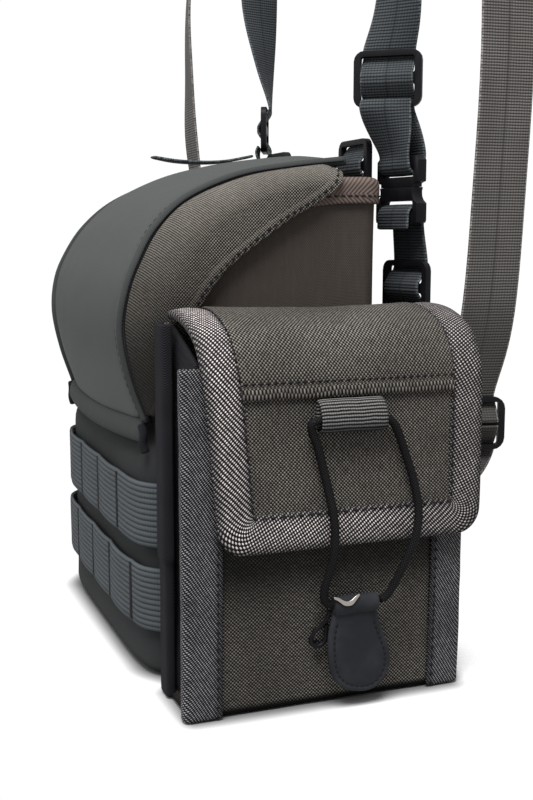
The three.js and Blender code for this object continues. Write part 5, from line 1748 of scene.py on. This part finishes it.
class HARNESS_OT_lid(bpy.types.Operator):
    """Makes the lid's panel, piping, wings and rolled hem"""

    bl_idname = "harness.lid"
    bl_label = "Lid"

    def execute(self, context):
        wall = cloth_wall(lid_at, GRIDS["lid"], LID["thick"], 0.0, lid_relief)
        panel = add_piece("lid_cover", wall, finish_of("lid"), "lid_cloth", "lid_panel")
        stitches = []
        for side, tag in ((1, "near"), (-1, "far")):
            path = []
            for t in np.linspace(0, 1, 90):
                x = side * (LID_SEAM(t, "half") + LID["pipe_out"])
                path.append(lid_point(t, x, -LID["pipe"] * LID["pipe_sunk"]))
            add_piece(f"lid_roll_{tag}", tube(path, LID["pipe"], 14), finish_of("welt"), "lid_cloth",
                      f"lid_piping_{tag}", subdivide=0)
            at = wing_at(side)

            def hem(u, v, point, at=at):
                over = ease((v - wing_hem_share(at, u)) / WING["hem_slope"] + 0.5)
                return over * WING["hem_rise"] + dents("wing", point)

            wall = cloth_wall(at, GRIDS["wing"], WING["thick"], 0.0, hem)
            add_piece(f"wing_{tag}", wall, finish_of("wing"), "wing_canvas", f"lid_wing_{tag}")
            row = [(u, mix(wing_hem_share(at, u), 1, WING["stitched_at"])) for u in np.linspace(0, 0.97, 160)]
            stitches.append(on_surface(at, row, WING["thick"] + WING["hem_rise"] + STITCH_LIFT["wing"]))
        sew("wing_hem_stitches", stitches, "wing_canvas", **STITCHES["wing_hem"])
        add_piece("lid_rolled_hem", ring_skin(hem_rings()), finish_of("welt"), "lid_cloth", "lid_hem")
        gathers = joined(hem_knot(1), hem_knot(-1))
        add_piece("lid_hem_gathers", gathers, finish_of("dark_tape"), "lid_cloth")
        places = np.linspace(0.01, 0.99, 160)
        shares = [LID["groove"] / (2 * LID_SEAM(u, "half")) for u in places]
        grooves = [list(zip(places, shares)), [(u, 1 - share) for u, share in zip(places, shares)]]
        lift = LID["thick"] - LID["groove_deep"] + STITCH_LIFT["cloth"]
        lines = [on_surface(lid_at, row, lift) for row in grooves]
        sew("lid_stitches", lines, "lid_cloth", **STITCHES["lid"])
        seams = []
        for side in (1, -1):
            halves = [side * (LID_SEAM(t, "half") + LID["seam_out"]) for t in places]
            line = [lid_point(t, x, -LID["seam_sunk"]) for t, x in zip(places, halves)]
            seams.append((line, [(0.0, *lid_outward(t)) for t in places]))
        sew("lid_seams", seams, "lid_cloth", **STITCHES["lid_seam"])
        return {"FINISHED"}


class HARNESS_OT_pouch(bpy.types.Operator):
    """Makes the pouch's body and its edge tapes"""

    bl_idname = "harness.pouch"
    bl_label = "Pouch"

    def execute(self, context):
        bag, gussets = pouch_shells()
        add_piece("pouch_bag", bag, finish_of("canvas"), "pouch_canvas", "pouch_body")
        # The gussets take the near-black dark tape finish: partly their own dark cloth and partly painted
        # shade.
        add_piece("pouch_gussets", gussets, finish_of("dark_tape"), "pouch_canvas")
        stitches = []
        for name, section in pouch_tape_sections().items():
            panel, side = name.split("_")
            high = EDGE_TAPE[f"{panel}_top"]

            def swell(y, z, panel=panel):
                if panel == "back":
                    return 0.0
                return max(pouch_front(y, z) - POUCH["front"], 0.0)

            at = edge_tape_at(section, EDGE_TAPE["low"], high, swell)
            finish = finish_of("edge_tape" if panel == "front" else "dark_tape")
            relief = dented("edge_tape") if panel == "front" else folded_tape
            wall = cloth_wall(at, GRIDS["edge_tape"], EDGE_TAPE["thick"], 0.0, relief)
            add_piece(f"{name}_tape", wall, finish, "binding_tape", f"pouch_{panel}_binding_{side}")
            if panel == "front":
                v = EDGE_TAPE["stitched_at"] if side == "left" else 1 - EDGE_TAPE["stitched_at"]
                row = [(u, v) for u in np.linspace(0.01, 0.99, 60)]
                stitches.append(on_surface(at, row, EDGE_TAPE["thick"] + STITCH_LIFT["tape"]))
        sew("pouch_tape_stitches", stitches, "binding_tape")
        return {"FINISHED"}


class HARNESS_OT_flap(bpy.types.Operator):
    """Makes the flap's two panels, the tape round it and the webbing tab"""

    bl_idname = "harness.flap"
    bl_label = "Flap"

    def execute(self, context):
        overlap = flap_distance_at(FLAP["overlap"])
        top = flap_panel_at(FLAP["start"], overlap)
        low = flap_panel_at(overlap - FLAP["under"], FLAP_LENGTH - FLAP["tape"] + FLAP["tuck"])
        canvas = finish_of("canvas")
        length = overlap - FLAP["start"]

        def rolled(u, v, point):
            roll = math.exp(-(((1 - u) * length - FLAP["roll_at"]) / FLAP["roll_wide"]) ** 2)
            sag = math.sin(math.pi * v) * (1 - clamp01(u / FLAP["sag_run"])) ** 2
            return dents("flap", point) + FLAP["roll"] * roll - FLAP["sag"] * sag

        wall = cloth_wall(top, GRIDS["flap_top"], FLAP["step"], FLAP["thick"], rolled)
        add_piece("flap_top", wall, canvas, "pouch_canvas", "flap_top_panel")
        wall = cloth_wall(low, GRIDS["flap_front"], FLAP["thick"], 0.0, dented("flap"))
        add_piece("flap_front", wall, canvas, "pouch_canvas", "flap_front_panel")
        at, last = flap_tape_at()
        wall = cloth_wall(at, (last, 12), FLAP["tape_thick"], -FLAP["tape_back"], tape_round)
        add_piece("flap_tape", wall, finish_of("tape"), "binding_tape", "flap_binding")
        seam = [(1 - FLAP["seam"] / length, v) for v in np.linspace(0.02, 0.98, 80)]
        line = on_surface(top, seam, FLAP["thick"] + FLAP["step"] + STITCH_LIFT["cloth"])
        sew("flap_seam_stitches", [line], "pouch_canvas", **STITCHES["flap_seam"])
        inner = [(u, FLAP["stitched_at"]) for u in np.linspace(0.02, 0.98, 200)]
        line = on_surface(at, inner, FLAP["tape_thick"] - FLAP["tape_back"] + STITCH_LIFT["tape"])
        sew("flap_stitches", [line], "pouch_canvas")
        self.webbing_tab()
        return {"FINISHED"}

    @staticmethod
    def webbing_tab():
        line = smooth_line(TAB_SECTION, GRIDS["tab"][0])

        def at(u, v):
            x, z = line_at(line, u)
            return (x, TAB["y"] + (v - 0.5) * TAB["width"], z)

        wall = cloth_wall(at, GRIDS["tab"], TAB["thick"], -TAB["thick"] / 2)
        add_piece("flap_tab", wall, finish_of("tab"), "webbing", "flap_webbing_loop")


class HARNESS_OT_straps(bpy.types.Operator):
    """Makes the webbing straps, tabs and tail"""

    bl_idname = "harness.straps"
    bl_label = "Straps"

    def execute(self, context):
        for chain in (NEAR, FAR):
            self.chain(chain)
        tail = [dict(x=TAIL_X, y=y, z=z, yaw=0.0, depth=0.0, width=width) for y, z, width in TAIL_ROWS]
        add_piece("far_tail", band(tail, WEB), finish_of("strap"), "webbing", "far_strap_tail")
        return {"FINISHED"}

    @staticmethod
    def chain(chain):
        tag = chain["tag"]
        end = [on_hardware(entry, chain["glide"], OVER_GLIDE) for entry in STRAP_END]
        shoulder = [*rows_of(chain["strap"]), *weave(chain["glide"]),
                    *turn_round(chain["buckle"], BUCKLE["plug_bar"], False), *end]
        link = [*turn_round(chain["buckle"], BUCKLE["socket_bar"], True)[::-1], *weave(chain["link"])[1:-1],
                on_hardware(LINK_END, chain["link"], OVER_GLIDE)]
        lower = [*rows_of(chain["lower"]), *into_lock(chain["lock"], 1)]
        tab = [*into_lock(chain["lock"], -1)[::-1], *rows_of(chain["tab"])]
        anchor = dict(zip(COLUMNS, chain["anchor"]), depth=0.0)
        anchored = [*(dict(anchor, **row) for row in ANCHOR_SEWN), *weave(chain["anchor"])[1:][::-1]]
        pieces = [("shoulder_strap", shoulder, WEB), ("link_strap", link, WEB),
                  ("side_tab", rows_of(chain["side_tab"]), WEB), ("lower_strap", lower, LOWER_WEB),
                  ("lower_tab", tab, LOWER_WEB), ("rim_anchor_web", anchored, WEB)]
        for name, rows, web in pieces:
            finish = finish_of("lower_strap" if web is LOWER_WEB else "strap")
            add_piece(f"{tag}_{name}", band(rows, web), finish, "webbing", f"{name}_{tag}")


class HARNESS_OT_hardware(bpy.types.Operator):
    """Makes the adjusters, buckles, anchors and locks with moulded edges"""

    bl_idname = "harness.hardware"
    bl_label = "Hardware"

    def execute(self, context):
        for node, rounding in MOULDED:
            seated(moulded_copy(node, rounding), "black_plastic", node)
        return {"FINISHED"}


class HARNESS_OT_back_patch(bpy.types.Operator):
    """Makes the padded back patch that the straps are sewn to"""

    bl_idname = "harness.back_patch"
    bl_label = "Back Patch"

    def execute(self, context):
        half = PATCH["width"] / 2
        middle = (HANG[2] + PATCH["low"]) / 2
        tall = (HANG[2] - PATCH["low"]) / 2

        def at(u, v):
            a = 2 * u - 1
            b = 2 * v - 1
            reach = PATCH["corner"]
            past = max(abs(b) * tall - tall + reach, 0) / reach
            x = a * (half - reach * (1 - math.sqrt(max(1 - past ** 2, 0))))
            return (-x, HANG[1], middle + b * tall)

        def crown(u, v, point):
            return PATCH["crown"] * ((1 - (2 * u - 1) ** 4) * (1 - (2 * v - 1) ** 4) - 1)

        thick = PATCH["thick"]
        wall = cloth_wall(at, GRIDS["patch"], thick - PATCH["thinner"], -thick / 2 + PATCH["raised"], crown)
        add_piece("patch", wall, finish_of("canvas"), "pouch_canvas", "back_patch")
        return {"FINISHED"}


class HARNESS_OT_stage(bpy.types.Operator):
    """Adds the pale floor with its painted contact shadow, and soft studio light"""

    bl_idname = "harness.stage"
    bl_label = "Stage"

    def execute(self, context):
        studio = context.scene.harness_studio
        self.floor()
        world = bpy.data.worlds.new("studio")
        world.use_nodes = True
        sky = world.node_tree.nodes["Background"]
        sky.inputs["Color"].default_value = (1.0, 1.0, 1.0, 1.0)
        sky.inputs["Strength"].default_value = studio.sky
        context.scene.world = world
        self.softbox("key", studio.key, **LIGHTS["key"])
        self.softbox("side", studio.side, **LIGHTS["side"])
        context.scene.view_settings.view_transform = "Standard"
        return {"FINISHED"}

    @staticmethod
    def to_object(shader, at):
        """Distance on the floor from the case and the pouch."""
        x, y, _ = shader.split(at)
        reach = []
        swollen = POUCH["front"] + FLOOR["pouch_swell"] / MM
        case = [(-CASE["half"], -CASE["deep"] - CASE["bow"], 0), (CASE["half"], CASE["deep"], 0)]
        pouch = [(POUCH["back"], POUCH["left"], 0), (swollen, POUCH["right"], 0)]
        for corners, radius in ((case, FLOOR["case_corner"]), (pouch, FLOOR["pouch_corner"])):
            low, high = in_frame(corners)
            middle = (low + high) / 2
            half = (high - low) / 2 - radius
            out_x = x.math("MAXIMUM", (x - middle[0]).size() - half[0], 0.0)
            out_y = y.math("MAXIMUM", (y - middle[1]).size() - half[1], 0.0)
            reach.append((out_x * out_x + out_y * out_y) ** 0.5 - radius)
        return x.math("MINIMUM", *reach)

    def floor(self):
        half = FLOOR["half"]
        height = -HANG[2] * MM - FLOOR["below"]
        mesh = bpy.data.meshes.new("floor")
        corners = [(x * half, y * half, height) for x, y in ((-1, -1), (1, -1), (1, 1), (-1, 1))]
        mesh.from_pydata(corners, [], [(0, 1, 2, 3)])
        shader = Shader("White Floor")
        at = shader.place()
        reach = self.to_object(shader, at)
        shader.feed(shader.surface.inputs["Alpha"], 1 - reach.step(*FLOOR["fade"]))
        pale = shader.blend(FLOOR["pale"], FLOOR["bright"], shader.mottle(at, 1.5))
        # Contact shadow painted into the floor's colour round the case and the pouch.
        contact = (1 - reach.step(*FLOOR["contact"])) * FLOOR["contact_share"]
        mesh.materials.append(shader.finish(shader.blend(pale, FLOOR["dark"], contact)))
        floor = bpy.data.objects.new("floor", mesh)
        bpy.context.scene.collection.objects.link(floor)

    @staticmethod
    def softbox(name, power, place, target, size):
        data = bpy.data.lights.new(name, "AREA")
        data.shape = "DISK"
        data.size = size
        data.energy = power
        light = bpy.data.objects.new(name, data)
        light.location = place
        light.rotation_euler = (Vector(target) - Vector(place)).to_track_quat("-Z", "Y").to_euler()
        bpy.context.scene.collection.objects.link(light)


OPERATORS = (
    HARNESS_OT_camera, HARNESS_OT_elastic_cord, HARNESS_OT_case, HARNESS_OT_webbing_rows, HARNESS_OT_lid,
    HARNESS_OT_pouch, HARNESS_OT_flap, HARNESS_OT_straps, HARNESS_OT_hardware, HARNESS_OT_back_patch,
    HARNESS_OT_stage,
)


class HARNESS_PT_sidebar(bpy.types.Panel):
    """Lists the harness's pieces and their settings"""

    bl_idname = "HARNESS_PT_sidebar"
    bl_label = "Harness"
    bl_space_type = "VIEW_3D"
    bl_region_type = "UI"
    bl_category = "Harness"

    def draw(self, context):
        layout = self.layout
        scene = context.scene
        for group in (scene.harness_sizes, scene.harness_colours, scene.harness_studio):
            box = layout.box()
            for name in group.__annotations__:
                box.prop(group, name)
        for operator in OPERATORS:
            layout.operator(operator.bl_idname)


CLASSES = (HarnessSizes, HarnessColours, StudioSettings, *OPERATORS, HARNESS_PT_sidebar)


def register():
    for item in CLASSES:
        bpy.utils.register_class(item)
    bpy.types.Scene.harness_sizes = PointerProperty(type=HarnessSizes)
    bpy.types.Scene.harness_colours = PointerProperty(type=HarnessColours)
    bpy.types.Scene.harness_studio = PointerProperty(type=StudioSettings)


def unregister():
    for name in ("harness_sizes", "harness_colours", "harness_studio"):
        delattr(bpy.types.Scene, name)
    for item in reversed(CLASSES):
        bpy.utils.unregister_class(item)


def main():
    register()
    for operator in OPERATORS:
        group, name = operator.bl_idname.split(".")
        getattr(getattr(bpy.ops, group), name)()


if __name__ == "__main__":
    main()
